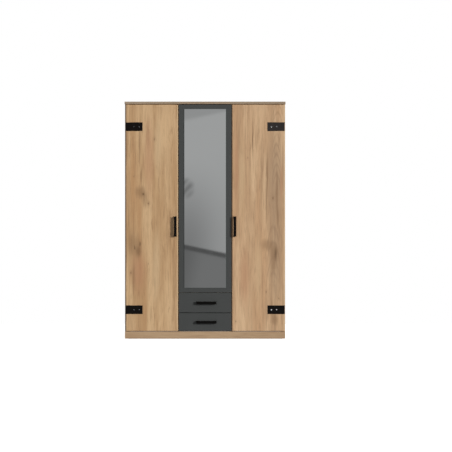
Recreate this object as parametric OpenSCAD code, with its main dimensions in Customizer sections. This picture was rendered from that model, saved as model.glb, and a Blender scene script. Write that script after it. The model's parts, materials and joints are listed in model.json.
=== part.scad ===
// Three-door wardrobe with a mirror door and two drawers, in millimetres.
// +X is to the right, +Y is to the back and +Z is up. The origin is on the floor, at the middle
// of the wardrobe's width and of its depth measured over the handles.

/* [Wardrobe] */
// Width over the top board
wardrobe_w = 1350; // [1300:1:1400]
// Height from the floor to the top of the top board
wardrobe_h = 1990; // [1960:1:2020]
// Depth from the front of the doors to the back of the top board
wardrobe_d = 580; // [560:1:600]

/* [Boards] */
// Thickness of the side panels, partitions, shelves, doors and fronts
board_t = 16; // [15:0.5:18]
// Thickness of the top board
top_t = 20; // [18:1:25]
// Thickness of the hardboard back panels and drawer bottoms
back_t = 3; // [2.5:0.1:3.2]
// How far the top board stands out past each side panel
top_overhang = 3; // [1:0.5:5]
// How far the top board stands out past the doors
top_lip = 2; // [0:0.5:5]
// Height of the plinth board
plinth_h = 59; // [50:1:60]

/* [Doors] */
// Width of the open line between two doors
door_gap = 6.5; // [5:0.5:8]
// Width of the middle door and of the drawer fronts
middle_w = 441; // [435:1:445]
// How far each outer door stays back from the side panel's outer face
door_inset = 4; // [3:0.5:5]
// Open line between the doors and the top board
door_top_gap = 5; // [3:0.5:6]
// Gap between the doors and the front edges of the panels
door_standoff = 2; // [1.5:0.1:3]
// Height of the outer doors' lower edge above the floor
door_z = 67; // [66:1:70]
// Height of the middle door's lower edge above the floor
middle_door_z = 390; // [388:1:392]

/* [Mirror] */
// Width of the mirror
mirror_w = 350; // [300:1:400]
// Height of the mirror
mirror_h = 1500; // [1400:10:1520]
// Height of the mirror's lower edge above the floor
mirror_z = 428; // [410:1:440]
// Thickness of the mirror
mirror_t = 4; // [3:0.5:5]

/* [Handles] */
// Length of a handle
handle_l = 168; // [140:1:180]
// Width of a handle
handle_w = 22; // [18:1:26]
// How far a handle stands out from the door
handle_out = 28; // [24:1:32]
// Thickness of a handle's grip
grip_t = 7; // [5:0.5:9]
// Length of a handle's foot along the handle
foot_l = 16; // [12:1:20]
// Distance from a door's free edge to the middle of its handle
handle_inset = 23; // [18:1:40]
// Height of the middle of the door handles
handle_z = 943; // [900:1:1000]
// How far the drawer handles sit to the right of the middle
drawer_handle_x = 12; // [0:1:20]

/* [Straps] */
// Length of an ornamental strap plate
strap_l = 144; // [120:1:160]
// Height of a strap plate
strap_h = 72; // [60:1:80]
// Thickness of a strap plate
strap_t = 2.5; // [2:0.1:3]
// Distance of the two strap screws from the plate's inner end
strap_screw_from_end = [31, 75]; // [10:1:100]
// Heights of the middles of the lower and the upper strap plates
strap_z = [245, 1780]; // [200:1:1820]

/* [Drawers] */
// Height of each drawer front's lower edge, lower drawer first
front_z = [67, 221]; // [67:1:240]
// Height of each drawer front
front_h = [150, 165]; // [130:1:166]
// Height of each drawer box's lower edge above the floor
box_z = [92, 242]; // [88:1:250]
// Height of each drawer box
box_h = [106, 118]; // [90:1:120]
// Thickness of the drawer's sides and back
box_t = 12; // [10:1:14]
// Length of the drawer's sides
box_l = 450; // [400:10:500]
// Gap between a drawer's side and the partition
box_gap = 2.5; // [2:0.5:4]

/* [Fittings] */
// Heights of the outer doors' hinges
outer_hinge_z = [245, 1011, 1780]; // [150:1:1850]
// Heights of the middle door's hinges
middle_hinge_z = [490, 1170, 1850]; // [450:1:1900]
// Heights of the undersides of the left compartment's shelves
left_shelf_z = [450, 828, 1206, 1584]; // [300:1:1700]
// Heights of the undersides of the middle compartment's shelves
middle_shelf_z = [700, 1010, 1340, 1650]; // [600:1:1750]
// Height of the underside of the hat shelf
hat_shelf_z = 1675; // [1640:1:1700]
// Height of the middle of the clothes rail
rail_z = 1625; // [1550:1:1630]
// Diameter of the clothes rail
rail_d = 25; // [20:1:30]
// Height of the push latch behind the middle door
latch_z = 1240; // [1200:1:1300]

/* [Hidden] */
$fn = 48;

// Overlap that makes a cut run clear through a face
cut = 1;

// Colours
oak = [0.72, 0.58, 0.45];
graphite = [0.27, 0.28, 0.28];
linen = [0.80, 0.78, 0.74];
black_metal = [0.07, 0.07, 0.07];
nickel = [0.72, 0.72, 0.70];
white_plastic = [0.92, 0.92, 0.90];
mirror_grey = [0.62, 0.64, 0.65];

// Depth stations: the handles' fronts and the back lie at equal distances from the origin
back_y = (wardrobe_d + handle_out) / 2;
front_y = handle_out - back_y;
door_back_y = front_y + board_t;
panel_y0 = door_back_y + door_standoff;
panel_y1 = back_y - back_t;

// Width stations, each for the right-hand side of the wardrobe
side_x = wardrobe_w / 2 - top_overhang;
inner_x = side_x - board_t;
partition_shift = 0.75;
partition_x = middle_w / 2 + door_gap / 2 + partition_shift;
partition_in = partition_x - board_t / 2;
partition_out = partition_x + board_t / 2;
door_in = middle_w / 2 + door_gap;
door_out = side_x - door_inset;
handle_x = door_in + handle_inset;

// Height stations
glide_h = 3;
plinth_play = 0.2;
shelf_below_door = 10;
top_z = wardrobe_h - top_t;
bottom_z = glide_h + plinth_h + plinth_play;
floor_z = bottom_z + board_t;
door_top = top_z - door_top_gap;
fixed_shelf_z = middle_door_z - shelf_below_door;

// Shelves: play at each end, and how far the front edge stays back from the panels' front
shelf_play = 0.75;
shelf_setback = 18;
shelf_y0 = panel_y0 + shelf_setback;
shelf_back_play = 1;
shelf_y1 = panel_y1 - shelf_back_play;

// Shelf pins: the rows of holes, their pitch, the shank in the panel and the head under the shelf
pin_row_in = 60;
pin_rows = [panel_y0 + pin_row_in, panel_y1 - pin_row_in];
pin_pitch = 32;
pin_hole_r = 2.5;
pin_hole_l = 7.5;
pin_shank_r = 2.4;
pin_head_r = 3.5;
pin_head_l = 8;

// Cam fittings: a cam in a blind bore and a bolt that runs into the board it draws up
cam_r = 7.5;
cam_l = 12.5;
cam_from_edge = 24;
cam_row_in = 48;
cam_rows = [panel_y0 + cam_row_in, panel_y1 - cam_row_in];
cam_play = 0.1;
bolt_r = 3;
bolt_bore_r = 4;
bolt_thread_r = 2.5;
bolt_thread_l = 10;

// Hinge axis: how far it lies inside the door's hinge edge and in front of the panels
axis_in = 5;
axis_front = 11;
axis_y = panel_y0 - axis_front;
outer_axis_x = door_out - axis_in;
middle_axis_x = middle_w / 2 - axis_in;

// Hinge leaves: annular sectors about the axis, nested in layers along it
leaf_r0 = 14.5;
leaf_r1 = 22;
leaf_r2 = 24;
leaf_angle = 58;
leaf_play = 0.4;
leaf_t = 2;
hook_back = 0.5;
hook_half = 2.5;
link_z0 = hook_half + leaf_play;
link_z1 = link_z0 + leaf_t;
nose_z0 = link_z1 + leaf_play;
nose_z1 = nose_z0 + leaf_t;

// Hinge cup: 35 mm bore in the door, 22.5 mm from its edge
cup_r = 17.5;
cup_bore_l = 11.5;
cup_x = cup_r;
cup_wall = 1;
door_face_y = door_back_y - axis_y;
cup_wing_off = 6;
wing_x = cup_x + cup_wing_off;
wing_w = 13;
wing_half = 30;
cup_screw_z = 24;
cup_screw_r = 1.7;
cup_screw_l = 9.5;
cup_pilot_l = 10;
cup_head_h = 0.8;
cup_head_over = 1.5;
screw_play = 0.1;
clear_play = 0.3;
cup_flange = 2;

// Hinge arm and its mounting plate, on the panel's inner face
arm_x0 = 9.3;
arm_x1 = 20;
arm_web_t = 1.6;
arm_y0 = 15;
arm_web_y0 = 27;
arm_y1 = 88;
arm_screw_y = 66;
plate_y = 48;
plate_wing_t = 2;
plate_wing_w = 16;
plate_wing_half = 24;
plate_half = 5;
plate_y0 = 34;
plate_y1 = 84;
plate_x1 = 17.5;
plate_screw_z = 16;
plate_screw_r = 2.4;
plate_screw_l = 11;
plate_screw_short = 0.5;
plate_screw_play = 0.2;
plate_head_h = 2;
plate_head_over = 1.6;
arm_screw_l = 8;
arm_head_h = 2.2;
arm_head_over = 1.8;

// Handle screws, in bores through the door and pilot holes in the handle's feet
handle_hole_x = (handle_l - foot_l) / 2;
handle_screw_r = 1.9;
handle_bore_r = 2.3;
handle_pilot_l = 14;
handle_screw_short = 1;
handle_head_h = 2.2;
handle_corner_r = 5;
handle_inner_r = 6;

// Strap screws
strap_screw_r = 2.2;
strap_screw_l = 11;
strap_head_r = 5.5;
strap_head_h = 2.8;
strap_head_rim = 0.6;

// Slide strips on the partitions, in grooves of the drawer's sides
strip_h = 12;
strip_t = 8.5;
strip_l = 440;
strip_from_door = 4;
strip_y0 = door_back_y + strip_from_door;
groove_from_door = 3;
bottom_up = 8;
bottom_groove_l = 5;
back_short = 6;
strip_play = 0.3;
groove_floor_play = 0.7;
box_x = partition_in - box_gap;

// Push latch on the right partition's inner face
latch_w = 14;
latch_h = 16;
latch_l = 60;
latch_from_front = 2;
latch_y0 = panel_y0 + latch_from_front;
plunger_r = 4;
plunger_l = 42;
plunger_bore_l = 50;
plunger_play = 0.3;
plunger_tip_l = 2;
plunger_tip_over = 1;

// Clothes rail and its end brackets
rail_wall = 1.2;
rail_y = (panel_y0 + panel_y1) / 2;
bracket_t = 3;
bracket_r = 22;
socket_t = 3;
socket_l = 14;

// Wall brackets under the top board, against the back panels
anchor_x = 440;
anchor_w = 20;
anchor_leg = 40;
anchor_t = 2;
anchor_hole_r = 2.75;
anchor_drop = 25;

// ---------------------------------------------------------------- shared shapes

// A box given by its lowest and highest corners
module span(low, high) {
    translate(low)
        cube(high - low);
}

// A round bar along X from x0 to x1
module bar_x(x0, x1, y, z, r) {
    translate([x0, y, z])
        rotate([0, 90, 0])
            cylinder(r = r, h = x1 - x0);
}

// A round bar along Y from y0 to y1
module bar_y(x, y0, y1, z, r) {
    translate([x, y0, z])
        rotate([-90, 0, 0])
            cylinder(r = r, h = y1 - y0);
}

// A round bar along Z from z0 to z1
module bar_z(x, y, z0, z1, r) {
    translate([x, y, z0])
        cylinder(r = r, h = z1 - z0);
}

// The mirror image across the wardrobe's middle plane when side is -1
module on_side(side) {
    mirror([side < 0 ? 1 : 0, 0, 0])
        children();
}

// A rectangle with round corners, made of squares and circles
module round_rect(w, h, r) {
    translate([r, 0])
        square([w - 2 * r, h]);
    translate([0, r])
        square([w, h - 2 * r]);
    for (x = [r, w - r])
        for (y = [r, h - r])
            translate([x, y])
                circle(r = r);
}

// ---------------------------------------------------------------- holes in the boards

// Rows of shelf pin holes in a panel's face at x, one pitch below to one above each shelf
module pin_holes(x, dir, shelf_heights) {
    for (z = shelf_heights)
        for (step = [-1, 0, 1])
            for (y = pin_rows)
                bar_x(x - (dir < 0 ? pin_hole_l : cut), x + (dir < 0 ? cut : pin_hole_l),
                    y, z - pin_head_r + step * pin_pitch, pin_hole_r);
}

// Cam bores in a panel's face at x, with the bolt's bore down from the top edge
module top_cam_holes(x, dir) {
    mid_x = x + dir * board_t / 2;
    for (y = cam_rows) {
        bar_x(min(x - dir * cut, x + dir * cam_l), max(x - dir * cut, x + dir * cam_l),
            y, top_z - cam_from_edge, cam_r);
        bar_z(mid_x, y, top_z - cam_from_edge, top_z + cut, bolt_bore_r);
    }
}

// Pilot holes for the hinge plate screws in a panel's face at x
module plate_holes(x, dir, heights) {
    for (z = heights)
        for (dz = [-plate_screw_z, plate_screw_z])
            bar_x(min(x - dir * cut, x + dir * plate_screw_l), max(x - dir * cut, x + dir * plate_screw_l),
                axis_y + plate_y, z + dz, plate_screw_r + screw_play);
}

// Bores for hinge cups and their screws in a door's back, hinge axis at axis_x, free edge towards +X
module cup_holes(axis_x, heights) {
    for (z = heights) {
        bar_y(axis_x + cup_x, door_back_y - cup_bore_l, door_back_y + cut, z, cup_r);
        for (dz = [-cup_screw_z, cup_screw_z])
            bar_y(axis_x + wing_x, door_back_y - cup_pilot_l, door_back_y + cut, z + dz,
                cup_screw_r + screw_play);
    }
}

// The pair of handle screw bores through a front, spread along X or Z about the handle's middle
module handle_bores(x, z, upright) {
    for (d = [-handle_hole_x, handle_hole_x])
        bar_y(x + (upright ? 0 : d), front_y - cut, door_back_y + cut, z + (upright ? d : 0), handle_bore_r);
}

// ---------------------------------------------------------------- carcass

// A side panel, drawn for the right-hand side
module side_panel(side) {
    color(oak)
        on_side(side)
            difference() {
                span([inner_x, panel_y0, glide_h], [side_x, panel_y1, top_z]);
                top_cam_holes(inner_x, 1);
                plate_holes(inner_x, 1, outer_hinge_z);
                pin_holes(inner_x, 1, side < 0 ? left_shelf_z : [hat_shelf_z]);
                for (y = cam_rows)
                    bar_x(inner_x - cut, inner_x + bolt_thread_l + cut, y, bottom_z + board_t / 2,
                        bolt_thread_r + cam_play);
            }
}

// A partition, drawn for the right-hand side; its outer face looks at the outer compartment
module partition(side) {
    color(oak)
        on_side(side)
            difference() {
                span([partition_in, panel_y0, floor_z], [partition_out, panel_y1, top_z]);
                top_cam_holes(partition_out, -1);
                pin_holes(partition_out, -1, side < 0 ? left_shelf_z : [hat_shelf_z]);
                pin_holes(partition_in, 1, middle_shelf_z);
                if (side < 0)
                    plate_holes(partition_in, 1, middle_hinge_z);
            }
}

module left_side() {
    side_panel(-1);
}

module right_side() {
    side_panel(1);
}

module left_partition() {
    partition(-1);
}

module right_partition() {
    partition(1);
}

module top_board() {
    color(oak)
        difference() {
            span([-wardrobe_w / 2, front_y - top_lip, top_z], [wardrobe_w / 2, back_y, wardrobe_h]);
            for (side = [-1, 1])
                for (x = [inner_x + board_t / 2, partition_x])
                    for (y = cam_rows)
                        bar_z(side * x, y, top_z - cut, top_z + bolt_thread_l + cut,
                            bolt_thread_r + cam_play);
        }
}

// The bottom board, with cams under its ends and bolts into the side panels
module bottom_board() {
    color(linen)
        difference() {
            span([-inner_x, panel_y0, bottom_z], [inner_x, panel_y1, floor_z]);
            for (side = [-1, 1])
                on_side(side)
                    for (y = cam_rows) {
                        bar_z(inner_x - cam_from_edge, y, bottom_z - cut, bottom_z + cam_l, cam_r);
                        bar_x(inner_x - cam_from_edge, inner_x + cut, y, bottom_z + board_t / 2,
                            bolt_bore_r);
                    }
        }
}

module front_plinth() {
    color(oak)
        span([-side_x, panel_y0 - board_t, glide_h], [side_x, panel_y0, glide_h + plinth_h]);
}

// Two braces that carry the bottom board under the partitions
module plinth_braces() {
    color(linen)
        for (side = [-1, 1])
            span([side * partition_x - board_t / 2, panel_y0, glide_h],
                [side * partition_x + board_t / 2, panel_y1, bottom_z]);
}

// A back panel from x0 to x1, nailed on the panels' rear edges
module back_panel(x0, x1) {
    color(linen)
        span([x0, panel_y1, bottom_z - board_t], [x1, back_y, top_z]);
}

module left_back() {
    difference() {
        back_panel(-side_x + 1, -partition_x - 0.25);
        color(linen)
            bar_y(-anchor_x, panel_y1 - cut, back_y + cut, top_z - anchor_drop, anchor_hole_r);
    }
}

module middle_back() {
    back_panel(-partition_x + 0.25, partition_x - 0.25);
}

module right_back() {
    difference() {
        back_panel(partition_x + 0.25, side_x - 1);
        color(linen)
            bar_y(anchor_x, panel_y1 - cut, back_y + cut, top_z - anchor_drop, anchor_hole_r);
    }
}

// ---------------------------------------------------------------- shelves and rail

// A shelf between two panel faces
module shelf(x0, x1, z) {
    color(linen)
        span([x0 + shelf_play, shelf_y0, z], [x1 - shelf_play, shelf_y1, z + board_t]);
}

// The fixed shelf between the mirror door's space and the drawers
module fixed_shelf() {
    color(linen)
        span([-partition_in, panel_y0, fixed_shelf_z], [partition_in, panel_y1, fixed_shelf_z + board_t]);
}

module left_shelves() {
    for (z = left_shelf_z)
        shelf(-inner_x, -partition_out, z);
}

module middle_shelves() {
    for (z = middle_shelf_z)
        shelf(-partition_in, partition_in, z);
}

module hat_shelf() {
    shelf(partition_out, inner_x, hat_shelf_z);
}

// One pin whose shank sits in the panel face at x, pointing into the compartment along dir
module shelf_pin(x, dir, y, z) {
    bar_x(min(x, x - dir * (pin_hole_l - 0.3)), max(x, x - dir * (pin_hole_l - 0.3)),
        y, z - pin_head_r, pin_shank_r);
    bar_x(min(x, x + dir * pin_head_l), max(x, x + dir * pin_head_l), y, z - pin_head_r, pin_head_r);
}

module shelf_pins() {
    color(nickel)
        for (y = pin_rows) {
            for (z = left_shelf_z) {
                shelf_pin(-inner_x, 1, y, z);
                shelf_pin(-partition_out, -1, y, z);
            }
            for (z = middle_shelf_z)
                for (side = [-1, 1])
                    shelf_pin(side * partition_in, -side, y, z);
            shelf_pin(partition_out, 1, y, hat_shelf_z);
            shelf_pin(inner_x, -1, y, hat_shelf_z);
        }
}

// The clothes rail, a tube between the two end brackets
module clothes_rail() {
    color(nickel)
        difference() {
            bar_x(partition_out + bracket_t, inner_x - bracket_t, rail_y, rail_z, rail_d / 2);
            bar_x(partition_out, inner_x, rail_y, rail_z, rail_d / 2 - rail_wall);
        }
}

// A bracket for each end of the rail: a round plate with a socket round the tube
module rail_brackets() {
    color(nickel)
        for (end = [[partition_out, 1], [inner_x, -1]])
            translate([end[0], rail_y, rail_z])
                rotate([0, end[1] * 90, 0]) {
                    cylinder(r = bracket_r, h = bracket_t);
                    difference() {
                        cylinder(r = rail_d / 2 + socket_t, h = bracket_t + socket_l);
                        translate([0, 0, bracket_t])
                            cylinder(r = rail_d / 2 + cam_play, h = socket_l + cut);
                    }
                }
}

// ---------------------------------------------------------------- fasteners of the carcass

// A cam with its cross slot, standing on its closed end
module cam() {
    difference() {
        cylinder(r = cam_r - cam_play, h = cam_l - cam_play);
        for (turn = [0, 90])
            rotate([0, 0, turn])
                translate([-cam_r * 0.6, -0.9, cam_l - 2.5])
                    cube([cam_r * 1.2, 1.8, 3]);
    }
}

// A cam bolt along +Z: the thread goes up into the next board, the shank comes from the cam
module cam_bolt() {
    cylinder(r = bolt_thread_r, h = bolt_thread_l);
    translate([0, 0, cam_r - cam_from_edge + cam_play])
        cylinder(r = bolt_r, h = cam_from_edge - cam_r - cam_play);
}

module cam_fittings() {
    color(nickel)
        for (side = [-1, 1])
            on_side(side)
                for (y = cam_rows) {
                    translate([inner_x + cam_l - cam_play, y, top_z - cam_from_edge])
                        rotate([0, -90, 0])
                            cam();
                    translate([inner_x + board_t / 2, y, top_z])
                        cam_bolt();
                    translate([partition_out - cam_l + cam_play, y, top_z - cam_from_edge])
                        rotate([0, 90, 0])
                            cam();
                    translate([partition_x, y, top_z])
                        cam_bolt();
                    translate([inner_x - cam_from_edge, y, bottom_z + cam_l - cam_play])
                        rotate([180, 0, 0])
                            cam();
                    translate([inner_x, y, bottom_z + board_t / 2])
                        rotate([0, 90, 0])
                            cam_bolt();
                }
}

// Eight nail-on glides under the side panels, the plinth and the braces
module floor_glides() {
    color(white_plastic)
        for (side = [-1, 1]) {
            for (y = [panel_y0 + 30, panel_y1 - 30])
                bar_z(side * (inner_x + board_t / 2), y, 0, glide_h, board_t / 2 - 0.5);
            bar_z(side * partition_x, panel_y0 - board_t / 2, 0, glide_h, board_t / 2 - 0.5);
            bar_z(side * partition_x, panel_y1 - 30, 0, glide_h, board_t / 2 - 0.5);
        }
}

// Two angle brackets that hold the wardrobe to a wall, screwed through the back panels
module wall_brackets() {
    color(nickel)
        for (side = [-1, 1])
            difference() {
                union() {
                    span([side * anchor_x - anchor_w / 2, panel_y1 - anchor_t, top_z - anchor_leg],
                        [side * anchor_x + anchor_w / 2, panel_y1, top_z]);
                    span([side * anchor_x - anchor_w / 2, panel_y1 - anchor_leg, top_z - anchor_t],
                        [side * anchor_x + anchor_w / 2, panel_y1, top_z]);
                }
                bar_y(side * anchor_x, panel_y1 - anchor_t - cut, panel_y1 + cut,
                    top_z - anchor_drop, anchor_hole_r);
            }
}

// ---------------------------------------------------------------- hinges
// Each hinge is drawn about its own axis: +X to the door's free edge, +Y to the back.

// An annular sector about the hinge axis, between the heights z0 and z1
module sector(r0, r1, z0, z1) {
    rotate_extrude(angle = leaf_angle, $fn = 96)
        translate([r0, z0])
            square([r1 - r0, z1 - z0]);
}

// The door's part: a cup with a screw flange and the hook leaf that stands in it
module hinge_cup() {
    floor_y = door_face_y - cup_bore_l + leaf_play / 2;
    difference() {
        union() {
            bar_y(cup_x, floor_y, door_face_y + cup_wall, 0, cup_r - cam_play);
            bar_y(cup_x, door_face_y, door_face_y + cup_wall, 0, cup_r + cup_flange);
            span([wing_x - wing_w / 2, door_face_y, -wing_half],
                [wing_x + wing_w / 2, door_face_y + cup_wall, wing_half]);
        }
        bar_y(cup_x, floor_y + cup_wall, door_face_y + cup_wall + cut, 0, cup_r - cup_wall);
        for (dz = [-cup_screw_z, cup_screw_z])
            bar_y(wing_x, door_face_y - cut, door_face_y + cup_wall + cut, dz,
                cup_screw_r + clear_play);
    }
    sector(leaf_r0, leaf_r1, -hook_half, hook_half);
    span([leaf_r0, floor_y + cup_wall / 2, -hook_half], [leaf_r1, hook_back, hook_half]);
}

// The link: two leaves outside the hook, joined by a web round its rim
module hinge_link() {
    for (low = [-link_z1, link_z0])
        sector(leaf_r0, leaf_r2, low, low + link_z1 - link_z0);
    sector(leaf_r1 + leaf_play, leaf_r2, -link_z1, link_z1);
}

// The panel's part: two nose leaves outside the link, on the side plates of a channel arm
module hinge_arm() {
    difference() {
        union() {
            for (low = [-nose_z1, nose_z0]) {
                sector(leaf_r0, leaf_r2, low, low + nose_z1 - nose_z0);
                span([arm_x0, arm_y0, low], [arm_x1, arm_y1, low + nose_z1 - nose_z0]);
            }
            span([arm_x1 - arm_web_t, arm_web_y0, -nose_z1], [arm_x1, arm_y1, nose_z1]);
        }
        bar_x(arm_x0, arm_x1 + cut, arm_screw_y, 0, bolt_r + cam_play);
    }
}

// The mounting plate under the arm, on a panel face at x
module hinge_plate(x) {
    difference() {
        union() {
            span([x, plate_y - plate_wing_w / 2, -plate_wing_half],
                [x + plate_wing_t, plate_y + plate_wing_w / 2, plate_wing_half]);
            span([x, plate_y0, -plate_half], [plate_x1, plate_y1, plate_half]);
        }
        for (dz = [-plate_screw_z, plate_screw_z])
            bar_x(x - cut, x + plate_wing_t + cut, plate_y, dz, plate_screw_r + plate_screw_play);
        bar_x(x + plate_wing_t, plate_x1 + cut, arm_screw_y, 0, bolt_thread_r + cam_play);
    }
}

// The screws of one hinge on the panel: two through the plate's wings and one through the arm
module hinge_screw_set(x) {
    for (dz = [-plate_screw_z, plate_screw_z]) {
        bar_x(x - plate_screw_l + plate_screw_short, x + plate_wing_t, plate_y, dz, plate_screw_r);
        bar_x(x + plate_wing_t, x + plate_wing_t + plate_head_h, plate_y, dz,
            plate_screw_r + plate_head_over);
    }
    bar_x(plate_x1 - arm_screw_l, arm_x1, arm_screw_y, 0, bolt_thread_r);
    bar_x(arm_x1, arm_x1 + arm_head_h, arm_screw_y, 0, bolt_r + arm_head_over);
}

// The two screws that hold a cup's wings
module cup_screws() {
    for (dz = [-cup_screw_z, cup_screw_z]) {
        bar_y(wing_x, door_face_y - cup_screw_l, door_face_y + cup_wall, dz, cup_screw_r);
        bar_y(wing_x, door_face_y + cup_wall, door_face_y + cup_wall + cup_head_h, dz,
            cup_screw_r + cup_head_over);
    }
}

// Places its children at each hinge of one door
module at_hinges(door) {
    axis_x = door == "middle" ? middle_axis_x : outer_axis_x;
    for (z = door == "middle" ? middle_hinge_z : outer_hinge_z)
        mirror([door == "right" ? 1 : 0, 0, 0])
            translate([-axis_x, axis_y, z])
                children();
}

module hinge_cups(door) {
    color(nickel)
        at_hinges(door)
            hinge_cup();
}

module hinge_links(door) {
    color(nickel)
        at_hinges(door)
            hinge_link();
}

// The panel face that carries a door's hinges, measured from the hinge axis
function hinge_panel_x(door) = door == "middle" ? middle_axis_x - partition_in : outer_axis_x - inner_x;

module hinge_arms() {
    color(nickel)
        for (door = ["left", "middle", "right"])
            at_hinges(door)
                hinge_arm();
}

module hinge_plates() {
    color(nickel)
        for (door = ["left", "middle", "right"])
            at_hinges(door)
                hinge_plate(hinge_panel_x(door));
}

module hinge_screws() {
    color(nickel)
        for (door = ["left", "middle", "right"])
            at_hinges(door)
                hinge_screw_set(hinge_panel_x(door));
}

module left_hinge_cups() {
    hinge_cups("left");
}

module middle_hinge_cups() {
    hinge_cups("middle");
}

module right_hinge_cups() {
    hinge_cups("right");
}

module left_hinge_links() {
    hinge_links("left");
}

module middle_hinge_links() {
    hinge_links("middle");
}

module right_hinge_links() {
    hinge_links("right");
}

// ---------------------------------------------------------------- handles and their screws

// A bow handle lying along X about x = 0 and z = 0, its feet on the plane y = 0
module bow_handle() {
    foot_y = handle_out - grip_t;
    difference() {
        translate([0, 0, -handle_w / 2])
            linear_extrude(handle_w)
                difference() {
                    translate([-handle_l / 2, -handle_out])
                        round_rect(handle_l, handle_out + handle_w, handle_corner_r);
                    translate([-handle_l / 2 - cut, 0])
                        square([handle_l + 2 * cut, handle_w + cut]);
                    translate([foot_l - handle_l / 2, -foot_y])
                        round_rect(handle_l - 2 * foot_l, foot_y + handle_w, handle_inner_r);
                }
        for (side = [-1, 1])
            bar_y(side * handle_hole_x, -handle_pilot_l, cut, 0, handle_screw_r + screw_play);
    }
}

// Two screws for a handle at the same place, through a front of the board's thickness
module handle_screw_pair() {
    for (side = [-1, 1]) {
        bar_y(side * handle_hole_x, handle_screw_short - handle_pilot_l, board_t, 0, handle_screw_r);
        bar_y(side * handle_hole_x, board_t, board_t + handle_head_h, 0, handle_screw_r * 2);
    }
}

// Turns something that lies along X upright
module upright() {
    rotate([0, -90, 0])
        children();
}

module door_handle(side) {
    color(black_metal)
        translate([side * handle_x, front_y, handle_z])
            upright()
                bow_handle();
}

module left_handle() {
    door_handle(-1);
}

module right_handle() {
    door_handle(1);
}

// ---------------------------------------------------------------- strap plates

// An ornamental strap plate on an outer door, flush with the door's outer edge
module strap(side, z) {
    color(black_metal)
        on_side(side)
            difference() {
                span([door_out - strap_l, front_y - strap_t, z - strap_h / 2],
                    [door_out, front_y, z + strap_h / 2]);
                for (d = strap_screw_from_end)
                    bar_y(door_out - strap_l + d, front_y - strap_t - cut, front_y + cut, z,
                        strap_screw_r + clear_play);
            }
}

module left_lower_strap() {
    strap(-1, strap_z[0]);
}

module left_upper_strap() {
    strap(-1, strap_z[1]);
}

module right_lower_strap() {
    strap(1, strap_z[0]);
}

module right_upper_strap() {
    strap(1, strap_z[1]);
}

// A domed wood screw along +Y, its head's underside at y = 0
module domed_screw() {
    bar_y(0, 0, strap_t + strap_screw_l, 0, strap_screw_r);
    bar_y(0, -strap_head_rim, 0, 0, strap_head_r);
    cap_h = strap_head_h - strap_head_rim;
    cap_r = (strap_head_r * strap_head_r + cap_h * cap_h) / (2 * cap_h);
    intersection() {
        translate([0, cap_r - strap_head_h, 0])
            sphere(r = cap_r, $fn = 96);
        bar_y(0, -strap_head_h - cut, -strap_head_rim, 0, strap_head_r);
    }
}

module strap_screws(side) {
    color(black_metal)
        for (z = strap_z)
            for (d = strap_screw_from_end)
                translate([side * (door_out - strap_l + d), front_y - strap_t, z])
                    domed_screw();
}

module left_strap_screws() {
    strap_screws(-1);
}

module right_strap_screws() {
    strap_screws(1);
}

// ---------------------------------------------------------------- doors

// An outer door, drawn for the left-hand side of the wardrobe
module outer_door(side) {
    color(oak)
        mirror([side > 0 ? 1 : 0, 0, 0])
            difference() {
                span([-door_out, front_y, door_z], [-door_in, door_back_y, door_top]);
                cup_holes(-outer_axis_x, outer_hinge_z);
                handle_bores(-handle_x, handle_z, true);
                for (z = strap_z)
                    for (d = strap_screw_from_end)
                        bar_y(-door_out + strap_l - d, front_y - cut, front_y + strap_screw_l + 0.5, z,
                            strap_screw_r + 0.1);
            }
}

module left_door() {
    outer_door(-1);
}

module right_door() {
    outer_door(1);
}

module middle_door() {
    color(graphite)
        difference() {
            span([-middle_w / 2, front_y, middle_door_z], [middle_w / 2, door_back_y, door_top]);
            cup_holes(-middle_axis_x, middle_hinge_z);
        }
}

// The mirror glass, stuck on the front of the middle door
module mirror_glass() {
    color(mirror_grey)
        span([-mirror_w / 2, front_y - mirror_t, mirror_z], [mirror_w / 2, front_y, mirror_z + mirror_h]);
}

// The screws that hold a door's cups and its handle
module door_screws(door) {
    color(nickel) {
        at_hinges(door)
            cup_screws();
        if (door != "middle")
            translate([(door == "left" ? -1 : 1) * handle_x, front_y, handle_z])
                upright()
                    handle_screw_pair();
    }
}

module left_door_screws() {
    door_screws("left");
}

module middle_door_screws() {
    door_screws("middle");
}

module right_door_screws() {
    door_screws("right");
}

// ---------------------------------------------------------------- push latch of the middle door

module latch_housing() {
    color(white_plastic)
        difference() {
            span([partition_in - latch_w, latch_y0, latch_z - latch_h / 2],
                [partition_in, latch_y0 + latch_l, latch_z + latch_h / 2]);
            bar_y(partition_in - latch_w / 2, latch_y0 - cut, latch_y0 + plunger_bore_l, latch_z,
                plunger_r + plunger_play);
        }
}

// The plunger: a rod in the housing's bore with a round tip behind the door
module latch_plunger() {
    tip_y = door_back_y + plunger_play;
    color(white_plastic) {
        bar_y(partition_in - latch_w / 2, tip_y, tip_y + plunger_l, latch_z, plunger_r);
        bar_y(partition_in - latch_w / 2, tip_y, tip_y + plunger_tip_l, latch_z,
            plunger_r + plunger_tip_over);
    }
}

// ---------------------------------------------------------------- drawers
// Each piece is drawn for drawer 0, the lower one, or drawer 1, the upper one.

// Height of the middle of a drawer's slide strips
function strip_z(i) = box_z[i] + box_h[i] / 2;

// Height of the middle of a drawer's front
function front_mid_z(i) = front_z[i] + front_h[i] / 2;

// Strips on the partitions that the drawers' sides slide on
module slide_strips() {
    color(white_plastic)
        for (i = [0, 1])
            for (side = [-1, 1])
                on_side(side)
                    span([partition_in - strip_t, strip_y0, strip_z(i) - strip_h / 2],
                        [partition_in, strip_y0 + strip_l, strip_z(i) + strip_h / 2]);
}

module drawer_front(i) {
    color(graphite)
        difference() {
            span([-middle_w / 2, front_y, front_z[i]], [middle_w / 2, door_back_y, front_z[i] + front_h[i]]);
            handle_bores(drawer_handle_x, front_mid_z(i), false);
        }
}

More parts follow.
